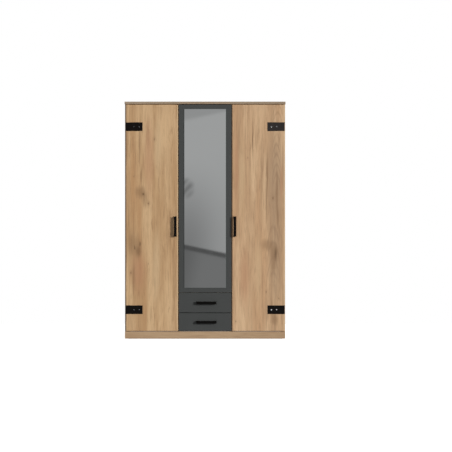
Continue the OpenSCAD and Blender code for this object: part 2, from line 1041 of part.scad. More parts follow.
// The two sides, with a groove outside for the strip and a groove inside for the bottom
module drawer_sides(i) {
    groove_h = strip_h + 2 * strip_play;
    groove_x = partition_in - strip_t - groove_floor_play;
    color(linen)
        for (side = [-1, 1])
            on_side(side)
                difference() {
                    span([box_x - box_t, door_back_y, box_z[i]],
                        [box_x, door_back_y + box_l, box_z[i] + box_h[i]]);
                    span([groove_x, door_back_y + groove_from_door, strip_z(i) - groove_h / 2],
                        [box_x + cut, door_back_y + box_l + cut, strip_z(i) + groove_h / 2]);
                    span([box_x - box_t - cut, door_back_y - cut, box_z[i] + bottom_up],
                        [box_x - box_t + bottom_groove_l, door_back_y + box_l - box_t,
                            box_z[i] + bottom_up + back_t]);
                }
}

module drawer_back(i) {
    color(linen)
        span([-box_x + box_t, door_back_y + box_l - box_t, box_z[i]],
            [box_x - box_t, door_back_y + box_l, box_z[i] + box_h[i] - back_short]);
}

module drawer_bottom(i) {
    color(linen)
        span([-box_x + box_t - bottom_groove_l, door_back_y, box_z[i] + bottom_up],
            [box_x - box_t + bottom_groove_l, door_back_y + box_l - box_t,
                box_z[i] + bottom_up + back_t]);
}

module drawer_handle(i) {
    color(black_metal)
        translate([drawer_handle_x, front_y, front_mid_z(i)])
            bow_handle();
}

module drawer_screws(i) {
    color(nickel)
        translate([drawer_handle_x, front_y, front_mid_z(i)])
            handle_screw_pair();
}

module lower_drawer_front() {
    drawer_front(0);
}

module lower_drawer_sides() {
    drawer_sides(0);
}

module lower_drawer_back() {
    drawer_back(0);
}

module lower_drawer_bottom() {
    drawer_bottom(0);
}

module lower_drawer_handle() {
    drawer_handle(0);
}

module lower_drawer_screws() {
    drawer_screws(0);
}

module upper_drawer_front() {
    drawer_front(1);
}

module upper_drawer_sides() {
    drawer_sides(1);
}

module upper_drawer_back() {
    drawer_back(1);
}

module upper_drawer_bottom() {
    drawer_bottom(1);
}

module upper_drawer_handle() {
    drawer_handle(1);
}

module upper_drawer_screws() {
    drawer_screws(1);
}

// ---------------------------------------------------------------- the wardrobe

left_side();
right_side();
left_partition();
right_partition();
top_board();
bottom_board();
front_plinth();
plinth_braces();
left_back();
middle_back();
right_back();
fixed_shelf();
left_shelves();
middle_shelves();
hat_shelf();
clothes_rail();
rail_brackets();
shelf_pins();
cam_fittings();
floor_glides();
wall_brackets();
hinge_arms();
hinge_plates();
hinge_screws();
slide_strips();
latch_housing();
latch_plunger();
left_door();
left_handle();
left_lower_strap();
left_upper_strap();
left_strap_screws();
left_door_screws();
left_hinge_cups();
left_hinge_links();
middle_door();
mirror_glass();
middle_door_screws();
middle_hinge_cups();
middle_hinge_links();
right_door();
right_handle();
right_lower_strap();
right_upper_strap();
right_strap_screws();
right_door_screws();
right_hinge_cups();
right_hinge_links();
lower_drawer_front();
lower_drawer_sides();
lower_drawer_back();
lower_drawer_bottom();
lower_drawer_handle();
lower_drawer_screws();
upper_drawer_front();
upper_drawer_sides();
upper_drawer_back();
upper_drawer_bottom();
upper_drawer_handle();
upper_drawer_screws();
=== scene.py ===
"""Looks of a three-door wardrobe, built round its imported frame.

Every piece is a class that builds its mesh from the frame's own nodes and dresses it in a finish.
Sizes are in metres. +X is to the right, +Y to the back and +Z is up.
"""

from __future__ import annotations

import json
import logging
import math
from dataclasses import astuple, dataclass, field
from enum import Enum
from typing import Any, Iterable, Sequence

import bmesh
import bpy
from bmesh.types import BMEdge, BMesh, BMVert
from bpy.types import ID, Material, Mesh, NodeSocket, NodeTree, Object
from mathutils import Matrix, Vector

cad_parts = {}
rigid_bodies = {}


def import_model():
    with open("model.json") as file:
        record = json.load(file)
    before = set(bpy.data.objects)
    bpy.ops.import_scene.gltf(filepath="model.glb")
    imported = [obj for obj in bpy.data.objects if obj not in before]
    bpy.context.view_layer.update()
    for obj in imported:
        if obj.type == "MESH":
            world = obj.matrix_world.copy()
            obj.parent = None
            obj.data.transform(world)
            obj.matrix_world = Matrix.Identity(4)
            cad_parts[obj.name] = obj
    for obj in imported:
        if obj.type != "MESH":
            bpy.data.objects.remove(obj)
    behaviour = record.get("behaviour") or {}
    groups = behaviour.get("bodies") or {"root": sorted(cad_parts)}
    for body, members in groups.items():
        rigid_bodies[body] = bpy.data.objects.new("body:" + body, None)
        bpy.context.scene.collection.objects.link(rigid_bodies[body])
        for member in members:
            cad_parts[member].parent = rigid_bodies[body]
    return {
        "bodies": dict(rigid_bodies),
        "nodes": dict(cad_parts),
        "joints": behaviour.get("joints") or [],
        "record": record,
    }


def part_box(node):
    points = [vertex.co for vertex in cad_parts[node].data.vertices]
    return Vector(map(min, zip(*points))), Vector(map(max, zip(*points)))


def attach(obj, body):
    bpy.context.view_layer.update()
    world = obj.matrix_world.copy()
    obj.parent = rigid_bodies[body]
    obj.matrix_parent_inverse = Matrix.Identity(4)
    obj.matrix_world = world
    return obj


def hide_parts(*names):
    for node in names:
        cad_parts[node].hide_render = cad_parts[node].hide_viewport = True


LOG = logging.getLogger("wardrobe")
MM = 0.001
AXES = (Vector((1, 0, 0)), Vector((0, 1, 0)), Vector((0, 0, 1)))
ON_FACE = 0.01 * MM

Colour = tuple[float, float, float]


def srgb(red: int, green: int, blue: int) -> Colour:
    """Turns a screen colour, 0 to 255 a channel, into linear light."""
    return tuple(
        c / 255 / 12.92 if c <= 10 else ((c / 255 + 0.055) / 1.055) ** 2.4
        for c in (red, green, blue)
    )


# ---- node trees


class Val:
    """An output socket that can be used in plain arithmetic."""

    def __init__(self, kit: "NodeKit", socket: NodeSocket) -> None:
        """Wraps one output socket of a tree.

        Args:
            kit: The tree's builder, which adds the maths nodes.
            socket: The output socket.
        """
        self.kit = kit
        self.socket = socket

    def _maths(self, operation: str, *values: "Val | float") -> "Val":
        """Adds one Math node on these values."""
        return self.kit.add("ShaderNodeMath", {"operation": operation}, dict(enumerate(values)))

    def __add__(self, other: "Val | float") -> "Val":
        """Sum of two values."""
        return self._maths("ADD", self, other)

    __radd__ = __add__

    def __sub__(self, other: "Val | float") -> "Val":
        """Difference of two values."""
        return self._maths("SUBTRACT", self, other)

    def __rsub__(self, other: float) -> "Val":
        """A number less this value."""
        return self._maths("SUBTRACT", other, self)

    def __mul__(self, other: "Val | float") -> "Val":
        """Product of two values."""
        return self._maths("MULTIPLY", self, other)

    __rmul__ = __mul__

    def __truediv__(self, other: "Val | float") -> "Val":
        """Quotient of two values."""
        return self._maths("DIVIDE", self, other)

    def __pow__(self, power: float) -> "Val":
        """This value to a power."""
        return self._maths("POWER", self, power)

    def sine(self) -> "Val":
        """Sine of this value, in radians."""
        return self._maths("SINE", self)


class NodeKit:
    """Adds and links nodes in one shader or geometry tree."""

    def __init__(self, tree: NodeTree) -> None:
        """Starts on a tree.

        Args:
            tree: The tree that the nodes go in.
        """
        self.tree = tree

    def add(
        self,
        kind: str,
        settings: dict[str, Any] | None = None,
        inputs: dict[str | int, Any] | None = None,
        out: str | int = 0,
    ) -> Val:
        """Adds a node.

        Args:
            kind: The node's type.
            settings: Properties that are set before the sockets, such as an operation.
            inputs: A value or a Val for each input socket, by name or by place.
            out: The output that is returned.

        Returns:
            The chosen output.
        """
        node = self.tree.nodes.new(kind)
        for name, value in (settings or {}).items():
            setattr(node, name, value)
        for name, value in (inputs or {}).items():
            self.put(node.inputs[name], value)
        return Val(self, node.outputs[out]) if len(node.outputs) else Val(self, None)

    def put(self, socket: NodeSocket, value: Any) -> None:
        """Links a Val to an input, or sets the input's own value.

        Args:
            socket: The input.
            value: A Val, a number, a vector or a colour.
        """
        if isinstance(value, Val):
            self.tree.links.new(value.socket, socket)
        elif socket.type == "RGBA" and len(value) == 3:
            socket.default_value = (*value, 1.0)
        else:
            socket.default_value = value

    def vector(self, x: Val | float, y: Val | float, z: Val | float) -> Val:
        """Joins three values into a vector."""
        return self.add("ShaderNodeCombineXYZ", None, {0: x, 1: y, 2: z})

    def noise(
        self, place: Val, scale: Sequence[float], detail: float = 2.0, rough: float = 0.5
    ) -> Val:
        """Smooth noise about 0.5, with its own scale along each axis.

        Args:
            place: The point that is looked up.
            scale: Cells a metre along x, y and z.
            detail: Number of finer octaves.
            rough: Strength of the finer octaves.

        Returns:
            The noise.
        """
        sizes = {0: place, 1: tuple(scale)}
        stretched = self.add("ShaderNodeVectorMath", {"operation": "MULTIPLY"}, sizes)
        inputs = {"Vector": stretched, "Scale": 1.0, "Detail": detail, "Roughness": rough}
        return self.add("ShaderNodeTexNoise", {"noise_dimensions": "3D"}, inputs)

    def ease(
        self, value: Val, low: float, high: float, to_low: float = 0.0, to_high: float = 1.0
    ) -> Val:
        """Moves a value smoothly from one number to another between two limits.

        Args:
            value: The value that is read.
            low: Where the ease starts.
            high: Where the ease ends.
            to_low: The result at the start and before it.
            to_high: The result at the end and past it.

        Returns:
            The eased value.
        """
        return self.add(
            "ShaderNodeMapRange",
            {"interpolation_type": "SMOOTHSTEP", "clamp": True},
            {"Value": value, 1: low, 2: high, 3: to_low, 4: to_high},
        )

    def mix(self, factor: Val | float, first: Any, second: Any, how: str = "MIX") -> Val:
        """Mixes two colours.

        Args:
            factor: Share of the second colour.
            first: A colour or a Val.
            second: A colour or a Val.
            how: The blending mode.

        Returns:
            The mixed colour.
        """
        node = self.tree.nodes.new("ShaderNodeMix")
        node.data_type = "RGBA"
        node.blend_type = how
        self.put(node.inputs[0], factor)
        self.put(node.inputs[6], first)
        self.put(node.inputs[7], second)
        return Val(self, node.outputs[2])


class Surface:
    """A new material with a Principled shader, and the builder of its nodes."""

    def __init__(self, name: str) -> None:
        """Makes an empty material.

        Args:
            name: The material's name.
        """
        self.material = bpy.data.materials.new(name)
        self.material.use_nodes = True
        self.kit = NodeKit(self.material.node_tree)
        self.shader = self.material.node_tree.nodes["Principled BSDF"]
        self.place = self.kit.add("ShaderNodeTexCoord", None, None, "Object")

    def axes(self) -> tuple[Val, Val, Val]:
        """The object coordinates, one by one."""
        split = self.kit.add("ShaderNodeSeparateXYZ", None, {0: self.place}).socket.node
        return tuple(Val(self.kit, split.outputs[i]) for i in range(3))

    def noise(
        self, scale: float | tuple[float, ...], detail: float = 2.0, rough: float = 0.5
    ) -> Val:
        """Smooth noise at the object's own place, with one scale or one along each axis."""
        scales = scale if isinstance(scale, tuple) else (scale,) * 3
        return self.kit.noise(self.place, scales, detail, rough)

    def finish(
        self, bump: Val | None = None, depth: float = 0.0, **inputs: Any
    ) -> Material:
        """Sets the shader's sockets.

        Args:
            bump: Height of the fine relief, or None.
            depth: Depth of the relief in metres.
            **inputs: Socket names, with _ for a space, and their values.

        Returns:
            The finished material.
        """
        for name, value in inputs.items():
            self.kit.put(self.shader.inputs[name.replace("_", " ")], value)
        if bump is not None:
            relief = {"Height": bump, "Strength": 1.0, "Distance": depth}
            self.kit.put(
                self.shader.inputs["Normal"], self.kit.add("ShaderNodeBump", None, relief)
            )
        return self.material


# ---- finishes


class Grain(Enum):
    """The way that a board's grain runs, with its noise scale for across and along."""

    UPRIGHT = "z"
    LEVEL = "x"

    def stretch(self, across: float, along: float) -> tuple[float, float, float]:
        """Cells a metre along x, y and z for these scales across and along the grain."""
        return tuple(along if axis == self.value else across for axis in "xyz")


class Tone(Enum):
    """Colours that marks in the oak decor take."""

    DARK = srgb(136, 103, 70)
    RED = srgb(182, 133, 98)
    GREY = srgb(146, 120, 96)
    PALE = srgb(208, 178, 138)
    KNOT = srgb(98, 72, 48)


@dataclass(frozen=True)
class Mark:
    """A soft oval mark in the decor: a streak, a stain or the heart of a knot."""

    x: float
    z: float
    half_w: float
    half_h: float
    strength: float
    tone: Tone


@dataclass(frozen=True)
class Cathedral:
    """A run of pointed growth lines about an upright axis."""

    x: float
    z_low: float
    z_high: float
    half_w: float
    rise: float
    strength: float


def marks(tone: Tone, *rows: tuple[float, ...]) -> tuple[Mark, ...]:
    """Marks of one tone; each row is x, z, half width, half height and strength."""
    return tuple(Mark(*row, tone) for row in rows)


def knot(x: float, z: float, size: float, strength: float = 0.8) -> tuple[Mark, ...]:
    """The marks of one knot: a halo, a stained ring and a dark heart.

    Args:
        x: Place across the front.
        z: Height.
        size: Radius of the dark heart.
        strength: How dark the heart is.

    Returns:
        The marks, the widest first.
    """
    return (
        Mark(x, z, size * 4.0, size * 7.5, strength * 0.34, Tone.DARK),
        Mark(x + size * 0.3, z, size * 1.9, size * 3.0, strength * 0.55, Tone.DARK),
        Mark(x, z, size, size * 1.35, strength, Tone.KNOT),
    )


@dataclass(frozen=True)
class OakDecor:
    """Satin oak-plank melamine, with soft stripes, growth lines, pores and placed marks."""

    name: str
    grain: Grain = Grain.UPRIGHT
    seed: float = 0.0
    light: Colour = srgb(210, 175, 132)
    middle: Colour = srgb(187, 149, 107)
    shade: Colour = srgb(137, 99, 65)
    red: Colour = srgb(184, 138, 92)
    marks: tuple[Mark, ...] = ()
    cathedrals: tuple[Cathedral, ...] = ()
    roughness: float = 0.46
    depth: float = 0.06 * MM

    # Cells a metre across and along the grain
    WANDER = (9, 1.6)
    BANDS = (9, 0.8)
    TINT = (7.5, 0.5)
    PATCHES = (6, 2.5)
    STRIPES = (38, 1.3)
    LINES = (170, 4.5)
    PORES = (720, 17)
    # How far the placed marks are bent across and along, in metres
    BEND = 0.016
    SWAY = 0.05

    def material(self) -> Material:
        """Builds the decor.

        Returns:
            The material.
        """
        surface = Surface(self.name)
        kit = surface.kit
        start = {0: surface.place, 1: (self.seed,) * 3}
        place = kit.add("ShaderNodeVectorMath", {"operation": "ADD"}, start)
        wander = kit.noise(place, self.grain.stretch(*self.WANDER), 3.0) - 0.5
        x, _, z = surface.axes()
        bend = surface.noise((16, 16, 5), 3.0, 0.6) - 0.5
        x = x + bend * self.BEND
        z = z + (surface.noise((21, 21, 12)) - 0.5) * self.SWAY
        bands = kit.noise(place, self.grain.stretch(*self.BANDS), 4.0, 0.6) + wander * 0.16
        colour = kit.mix(kit.ease(bands, 0.38, 0.62), self.middle, self.light)
        tint = kit.noise(place, self.grain.stretch(*self.TINT), 1.0)
        colour = kit.mix(kit.ease(tint, 0.5, 0.68, 0.0, 0.62), colour, self.red)
        patches = kit.noise(place, self.grain.stretch(*self.PATCHES), 3.0)
        patches = kit.ease(patches, 0.36, 0.66, 0.15, 1.0)
        drift = kit.vector(wander * 0.05, wander * 0.05, 0.0)
        bent = kit.add("ShaderNodeVectorMath", {"operation": "ADD"}, {0: place, 1: drift})
        stripes = kit.noise(bent, self.grain.stretch(*self.STRIPES), 5.0, 0.66)
        colour = kit.mix(kit.ease(stripes, 0.47, 0.72, 0.0, 0.55) * patches, colour, self.shade)
        lines = kit.noise(bent, self.grain.stretch(*self.LINES), 3.0, 0.65)
        colour = kit.mix(kit.ease(lines, 0.48, 0.7, 0.0, 0.45), colour, self.shade)
        for figure in self.cathedrals:
            colour = self._arches(kit, colour, figure, x, z)
        for mark in self.marks:
            colour = self._stain(kit, colour, mark, x, z)
        pores = kit.ease(kit.noise(place, self.grain.stretch(*self.PORES)), 0.6, 0.7)
        colour = kit.mix(pores * 0.26, colour, self.shade)
        relief = 1 - pores * 0.8 - kit.ease(lines, 0.5, 0.72) * 0.25
        rough = self.roughness + pores * 0.12 + (bands - 0.5) * 0.08
        return surface.finish(relief, self.depth, Base_Color=colour, Roughness=rough)

    def _arches(self, kit: NodeKit, colour: Val, figure: Cathedral, x: Val, z: Val) -> Val:
        """Lays pointed growth lines over a colour.

        Args:
            kit: The tree's builder.
            colour: The colour so far.
            figure: Where the lines are.
            x: Place across the front.
            z: Height.

        Returns:
            The new colour.
        """
        aside = (x - figure.x) / figure.half_w
        phase = z / figure.rise + aside * aside * 2.2
        lines = (phase * math.tau).sine() * 0.5 + 0.5
        across = kit.ease(aside * aside, 0.3, 1.0, 1.0, 0.0)
        middle = (figure.z_low + figure.z_high) / 2
        reach = (figure.z_high - figure.z_low) / 2
        away = (z - middle) / reach
        along = kit.ease(away * away, 0.55, 1.0, 1.0, 0.0)
        return kit.mix(lines**3 * across * along * figure.strength, colour, self.shade)

    def _stain(self, kit: NodeKit, colour: Val, mark: Mark, x: Val, z: Val) -> Val:
        """Lays one soft oval mark over a colour.

        Args:
            kit: The tree's builder.
            colour: The colour so far.
            mark: The mark.
            x: Place across the front.
            z: Height.

        Returns:
            The new colour.
        """
        offset = kit.vector((x - mark.x) / mark.half_w, (z - mark.z) / mark.half_h, 0.0)
        away = kit.add("ShaderNodeVectorMath", {"operation": "LENGTH"}, {0: offset}, "Value")
        return kit.mix(kit.ease(away, 0.15, 1.0, mark.strength, 0.0), colour, mark.tone.value)


@dataclass(frozen=True)
class Melamine:
    """Plain coloured melamine with a fine pearl texture and faint cloudy variation."""

    name: str
    colour: Colour
    cloud: Colour
    roughness: float = 0.5
    linen: bool = False
    depth: float = 0.04 * MM

    def material(self) -> Material:
        """Builds the melamine, with a faint woven print where linen is set.

        Returns:
            The material.
        """
        surface = Surface(self.name)
        kit = surface.kit
        cloudy = kit.ease(surface.noise(6, 4.0, 0.6), 0.35, 0.65)
        colour = kit.mix(cloudy * 0.5, self.colour, self.cloud)
        pearl = surface.noise(900)
        if self.linen:
            upright = surface.noise((900, 900, 30))
            level = surface.noise((30, 30, 900))
            weave = kit.ease(upright + level, 0.8, 1.2)
            colour = kit.mix(weave * 0.5, colour, self.cloud)
            pearl = weave
        rough = self.roughness + (pearl - 0.5) * 0.12 + (cloudy - 0.5) * 0.05
        return surface.finish(pearl, self.depth, Base_Color=colour, Roughness=rough)


@dataclass(frozen=True)
class PowderCoat:
    """Satin black powder coat on steel: orange-peel relief and slightly rubbed high spots."""

    name: str
    colour: Colour = srgb(8, 6, 5)
    rubbed: Colour = srgb(19, 17, 15)
    roughness: float = 0.42
    shine: float = 0.12
    depth: float = 0.05 * MM

    def material(self) -> Material:
        """Builds the coat.

        Returns:
            The material.
        """
        surface = Surface(self.name)
        kit = surface.kit
        peel = surface.noise(650)
        wear = kit.ease(surface.noise(45, 4.0, 0.65), 0.5, 0.75)
        colour = kit.mix(wear * 0.5, self.colour, self.rubbed)
        rough = self.roughness + (peel - 0.5) * 0.15 - wear * 0.06
        return surface.finish(
            peel, self.depth, Base_Color=colour, Roughness=rough, Specular_IOR_Level=self.shine
        )


@dataclass(frozen=True)
class PlatedSteel:
    """Nickel, zinc or chrome plating, with faint drawn lines and cloudy gloss."""

    name: str
    colour: Colour
    tarnish: Colour
    roughness: float
    brush: tuple[float, float, float] = (60, 60, 900)
    depth: float = 0.02 * MM

    def material(self) -> Material:
        """Builds the plating.

        Returns:
            The material.
        """
        surface = Surface(self.name)
        kit = surface.kit
        drawn = surface.noise(self.brush)
        cloudy = surface.noise(70, 3.0)
        colour = kit.mix(kit.ease(cloudy, 0.45, 0.75, 0.0, 0.5), self.colour, self.tarnish)
        rough = self.roughness + (drawn - 0.5) * 0.12 + (cloudy - 0.5) * 0.12
        return surface.finish(drawn, self.depth, Base_Color=colour, Roughness=rough, Metallic=1.0)


@dataclass(frozen=True)
class Hardboard:
    """Painted hardboard: a smooth printed side with a fine fibre fleck."""

    name: str
    colour: Colour
    fleck: Colour
    roughness: float = 0.68
    depth: float = 0.12 * MM

    def material(self) -> Material:
        """Builds the board.

        Returns:
            The material.
        """
        surface = Surface(self.name)
        kit = surface.kit
        fibre = surface.noise(420, 3.0, 0.7)
        blotch = surface.noise(9, 3.0)
        spots = kit.ease(fibre, 0.52, 0.7) * 0.5 + kit.ease(blotch, 0.4, 0.7) * 0.2
        colour = kit.mix(spots, self.colour, self.fleck)
        rough = self.roughness + (fibre - 0.5) * 0.2
        return surface.finish(fibre, self.depth, Base_Color=colour, Roughness=rough)


@dataclass(frozen=True)
class Moulded:
    """Moulded nylon with a fine spark-eroded grain."""

    name: str
    colour: Colour
    roughness: float = 0.5
    depth: float = 0.04 * MM

    def material(self) -> Material:
        """Builds the plastic.

        Returns:
            The material.
        """
        surface = Surface(self.name)
        kit = surface.kit
        grain = surface.noise(800)
        cloudy = surface.noise(60)
        darker = tuple(c * 0.86 for c in self.colour)
        colour = kit.mix(kit.ease(cloudy, 0.4, 0.7, 0.0, 0.6), self.colour, darker)
        rough = self.roughness + (grain - 0.5) * 0.15
        return surface.finish(grain, self.depth, Base_Color=colour, Roughness=rough)


@dataclass(frozen=True)
class SilveredGlass:
    """The mirror: a silvered face that is almost perfectly smooth, with a trace of haze."""

    name: str = "silvered_glass"
    colour: Colour = (0.93, 0.95, 0.95)
    dulled: Colour = (0.88, 0.9, 0.9)
    roughness: float = 0.015

    def material(self) -> Material:
        """Builds the mirror's face.

        Returns:
            The material.
        """
        surface = Surface(self.name)
        kit = surface.kit
        haze = kit.ease(surface.noise(5, 3.0), 0.5, 0.8)
        colour = kit.mix(haze * 0.12, self.colour, self.dulled)
        rough = self.roughness + haze * 0.012
        return surface.finish(Base_Color=colour, Roughness=rough, Metallic=1.0)


@dataclass(frozen=True)
class GlassEdge:
    """The ground edge of the mirror's glass, grey-green and satin."""

    name: str = "glass_edge"
    colour: Colour = srgb(92, 104, 100)
    ground_dark: Colour = srgb(62, 74, 72)
    roughness: float = 0.3
    depth: float = 0.04 * MM

    def material(self) -> Material:
        """Builds the edge's finish.

        Returns:
            The material.
        """
        surface = Surface(self.name)
        kit = surface.kit
        ground = surface.noise(300, 3.0)
        colour = kit.mix(kit.ease(ground, 0.4, 0.7, 0.0, 0.6), self.colour, self.ground_dark)
        rough = self.roughness + ground * 0.2
        return surface.finish(ground, self.depth, Base_Color=colour, Roughness=rough)


# The decor's own marks, as they fall on each outer door; each door also has a pale line of painted
# highlight up its right edge and a dark line of painted shade up its left edge
LEFT_MARKS = (
    # Dark line up the left door's left edge: painted shade
    Mark(-0.668, 1.00, 0.015, 9.0, 0.85, Tone.KNOT),
    # Pale line up the left door's right edge: painted highlight
    Mark(-0.229, 1.00, 0.008, 9.0, 0.90, Tone.PALE),
    *marks(
        Tone.RED,
        (-0.470, 1.52, 0.060, 0.480, 0.50),
        (-0.560, 0.56, 0.090, 0.250, 0.60),
    ),
    *marks(
        Tone.PALE,
        (-0.400, 1.62, 0.045, 0.330, 0.55),
        (-0.410, 0.60, 0.050, 0.420, 0.60),
    ),
    *marks(
        Tone.DARK,
        (-0.548, 1.64, 0.010, 0.230, 0.55),
        (-0.535, 1.38, 0.012, 0.090, 0.45),
        (-0.625, 0.80, 0.045, 0.170, 0.42),
        (-0.575, 0.78, 0.070, 0.160, 0.45),
        (-0.560, 0.735, 0.034, 0.075, 0.75),
    ),
    *marks(
        Tone.KNOT,
        (-0.545, 0.80, 0.011, 0.032, 0.70),
        (-0.590, 0.77, 0.009, 0.026, 0.65),
    ),
    *marks(
        Tone.DARK,
        (-0.548, 1.235, 0.060, 0.075, 0.50),
        (-0.500, 1.175, 0.035, 0.110, 0.36),
        (-0.600, 0.52, 0.020, 0.190, 0.42),
    ),
    *knot(-0.519, 1.215, 0.011, 0.78),
    *knot(-0.476, 1.134, 0.007, 0.6),
    *knot(-0.427, 1.673, 0.0055, 0.5),
    *knot(-0.597, 1.363, 0.005, 0.3),
    *knot(-0.623, 0.552, 0.006, 0.6),
    *knot(-0.477, 0.635, 0.0045, 0.36),
)
RIGHT_MARKS = (
    # Pale line up the right door's right edge: painted highlight
    Mark(0.666, 1.00, 0.010, 9.0, 0.90, Tone.PALE),
    # Dark line up the right door's left edge: painted shade
    Mark(0.228, 1.00, 0.010, 9.0, 0.55, Tone.DARK),
    *marks(
        Tone.GREY,
        (0.585, 1.30, 0.105, 0.720, 0.50),
        (0.590, 0.62, 0.085, 0.500, 0.40),
    ),
    *marks(
        Tone.RED,
        (0.262, 1.45, 0.030, 0.400, 0.50),
        (0.330, 0.52, 0.065, 0.360, 0.60),
    ),
    *marks(
        Tone.PALE,
        (0.310, 1.35, 0.040, 0.480, 0.50),
        (0.445, 0.58, 0.045, 0.420, 0.45),
    ),
    Mark(0.640, 1.30, 0.018, 0.250, 0.55, Tone.RED),
    Mark(0.399, 1.69, 0.0075, 0.250, 0.80, Tone.DARK),
    Mark(0.399, 1.66, 0.004, 0.120, 0.45, Tone.KNOT),
    *marks(
        Tone.DARK,
        (0.521, 1.38, 0.010, 0.300, 0.75),
        (0.515, 1.12, 0.009, 0.260, 0.55),
        (0.604, 1.20, 0.012, 0.300, 0.60),
        (0.612, 1.02, 0.012, 0.140, 0.50),
        (0.470, 1.22, 0.016, 0.250, 0.35),
        (0.520, 0.79, 0.080, 0.075, 0.50),
        (0.585, 0.72, 0.050, 0.110, 0.62),
    ),
    Mark(0.592, 0.71, 0.014, 0.075, 0.55, Tone.KNOT),
    *marks(
        Tone.DARK,
        (0.575, 0.62, 0.030, 0.080, 0.45),
        (0.585, 0.16, 0.040, 0.060, 0.55),
    ),
    *knot(0.571, 1.184, 0.008, 0.5),
    *knot(0.357, 1.525, 0.005, 0.35),
    *knot(0.256, 0.150, 0.006, 0.5),
    *knot(0.515, 0.396, 0.004, 0.6),
    *knot(0.618, 0.343, 0.006, 0.5),
)
RIGHT_ARCHES = (
    Cathedral(0.600, 1.27, 1.74, 0.044, 0.085, 0.38),
    Cathedral(0.606, 1.80, 2.02, 0.058, 0.075, 0.30),
    Cathedral(0.572, 0.48, 0.98, 0.070, 0.130, 0.34),
)


# ---- the bench


@dataclass
class Bench:
    """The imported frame, with what is needed to turn its nodes into finished pieces."""

    frame: dict[str, Any]
    made: int = 0
    body_names: dict[str, str] = field(default_factory=dict)
    slots: dict[str, str] = field(default_factory=dict)

    WELD = 0.002 * MM
    FLAT = math.radians(0.4)
    RIM_SHARE = 0.93
    TIP_DEPTH = 0.1 * MM
    HEAD_SHARE = 0.45
    DOME_SHARE = 0.55
    DRIVE_SHARE = 1.15

    def __post_init__(self) -> None:
        """Reads which body and which material slot each node has."""
        record = self.frame["record"]
        for body, nodes in record["behaviour"]["bodies"].items():
            self.body_names.update(dict.fromkeys(nodes, body))
        self.slots = {row["node"]: row["material_slot"] for row in record["subparts"]}

    def welded(self, node: str) -> BMesh:
        """Copies a node's mesh, joins its loose triangles and clears its flat faces.

        Args:
            node: The node's name.

        Returns:
            The new mesh data.
        """
        mesh = bmesh.new()
        mesh.from_mesh(self.frame["nodes"][node].data)
        bmesh.ops.remove_doubles(mesh, verts=mesh.verts, dist=self.WELD)
        bmesh.ops.dissolve_limit(
            mesh, angle_limit=self.FLAT, verts=mesh.verts, edges=mesh.edges
        )
        return mesh

    def turned(self, node: str) -> dict["Turned", list[tuple[Vector, Vector]]]:
        """Measures the screws of a node, so that finished ones can stand in the same places.

        Args:
            node: The node's name.

        Returns:
            For each size of screw, the middle of each head's underside and the way it points.
        """
        mesh = self.welded(node)
        found: dict[Turned, list[tuple[Vector, Vector]]] = {}
        for part in islands(mesh):
            low, high = corners(part)
            middle, size = (low + high) / 2, high - low
            along = max(range(3), key=lambda i: size[i])
            reach = {v: (v.co - middle - (v.co - middle)[along] * AXES[along]).length for v in part}
            wide = max(reach.values())
            rim = [v.co[along] for v in part if reach[v] > self.RIM_SHARE * wide]
            up = sum(rim) / len(rim) > middle[along]
            tip, top = (low[along], high[along]) if up else (high[along], low[along])
            under = min(rim) if up else max(rim)
            shank = max(reach[v] for v in part if abs(v.co[along] - tip) < self.TIP_DEPTH)
            spot = middle.copy()
            spot[along] = under
            rise = abs(top - under)
            head, dome = rise * self.HEAD_SHARE, rise * self.DOME_SHARE
            sizes = (shank, abs(under - tip), wide, head, dome, wide * self.DRIVE_SHARE)
            sizes = Turned(*(round(value, 5) for value in sizes))
            found.setdefault(sizes, []).append((spot, AXES[along] * (1 if up else -1)))
        mesh.free()
        return found

    def settle(
        self,
        mesh: Mesh,
        name: str,
        node: str,
        finishes: Sequence[Material],
        replaced: Sequence[str] = (),
        slot: str | None = None,
    ) -> Object:
        """Puts a finished mesh in the scene, on the body of the node that it goes with.

        Args:
            mesh: The mesh, with its place in its vertices.
            name: The piece's name.
            node: A node on the same body.
            finishes: The materials, in the order of the mesh's own slots.
            replaced: The nodes that the piece stands for.
            slot: The record's material slot; not used.

        Returns:
            The piece.
        """
        shares = [face.material_index for face in mesh.polygons]
        mesh.materials.clear()
        for finish in finishes:
            mesh.materials.append(finish)
        mesh.polygons.foreach_set("material_index", [min(i, len(finishes) - 1) for i in shares])
        piece = linked(name, mesh)
        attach(piece, self.body_names[node])
        slot or self.slots[node]
        if replaced:
            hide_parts(*replaced)
        self.made += 1
        LOG.info("%s: %d faces, rides on %s", name, len(mesh.polygons), self.body_names[node])
        return piece


def linked(name: str, data: ID) -> Object:
    """Puts a new object in the scene.

    Args:
        name: The object's name.
        data: Its mesh, light or camera.

    Returns:
        The object.
    """
    made = bpy.data.objects.new(name, data)
    bpy.context.scene.collection.objects.link(made)
    return made


def kept(holder: Object) -> Mesh:
    """Keeps what an object's modifiers make of its mesh, and removes the object.

    Args:
        holder: The object.

    Returns:
        The new mesh.
    """
    graph = bpy.context.evaluated_depsgraph_get()
    result = bpy.data.meshes.new_from_object(holder.evaluated_get(graph))
    bpy.data.objects.remove(holder)
    return result


def islands(mesh: BMesh) -> list[list[BMVert]]:
    """Splits mesh data into its separate solids, in the order of their first corners.

    Args:
        mesh: The mesh data.

    Returns:
        The corners of each solid.
    """
    left = set(mesh.verts)
    found = []
    for start in mesh.verts:
        if start not in left:
            continue
        left.remove(start)
        part, queue = [start], [start]
        while queue:
            for edge in queue.pop().link_edges:
                for vert in edge.verts:
                    if vert in left:
                        left.remove(vert)
                        part.append(vert)
                        queue.append(vert)
        found.append(part)
    return found


def corners(verts: Iterable[BMVert]) -> tuple[Vector, Vector]:
    """Lowest and highest corners of some vertices.

    Args:
        verts: The vertices.

    Returns:
        The two corners.
    """
    places = [vert.co for vert in verts]
    low = Vector([min(place[i] for place in places) for i in range(3)])
    high = Vector([max(place[i] for place in places) for i in range(3)])
    return low, high


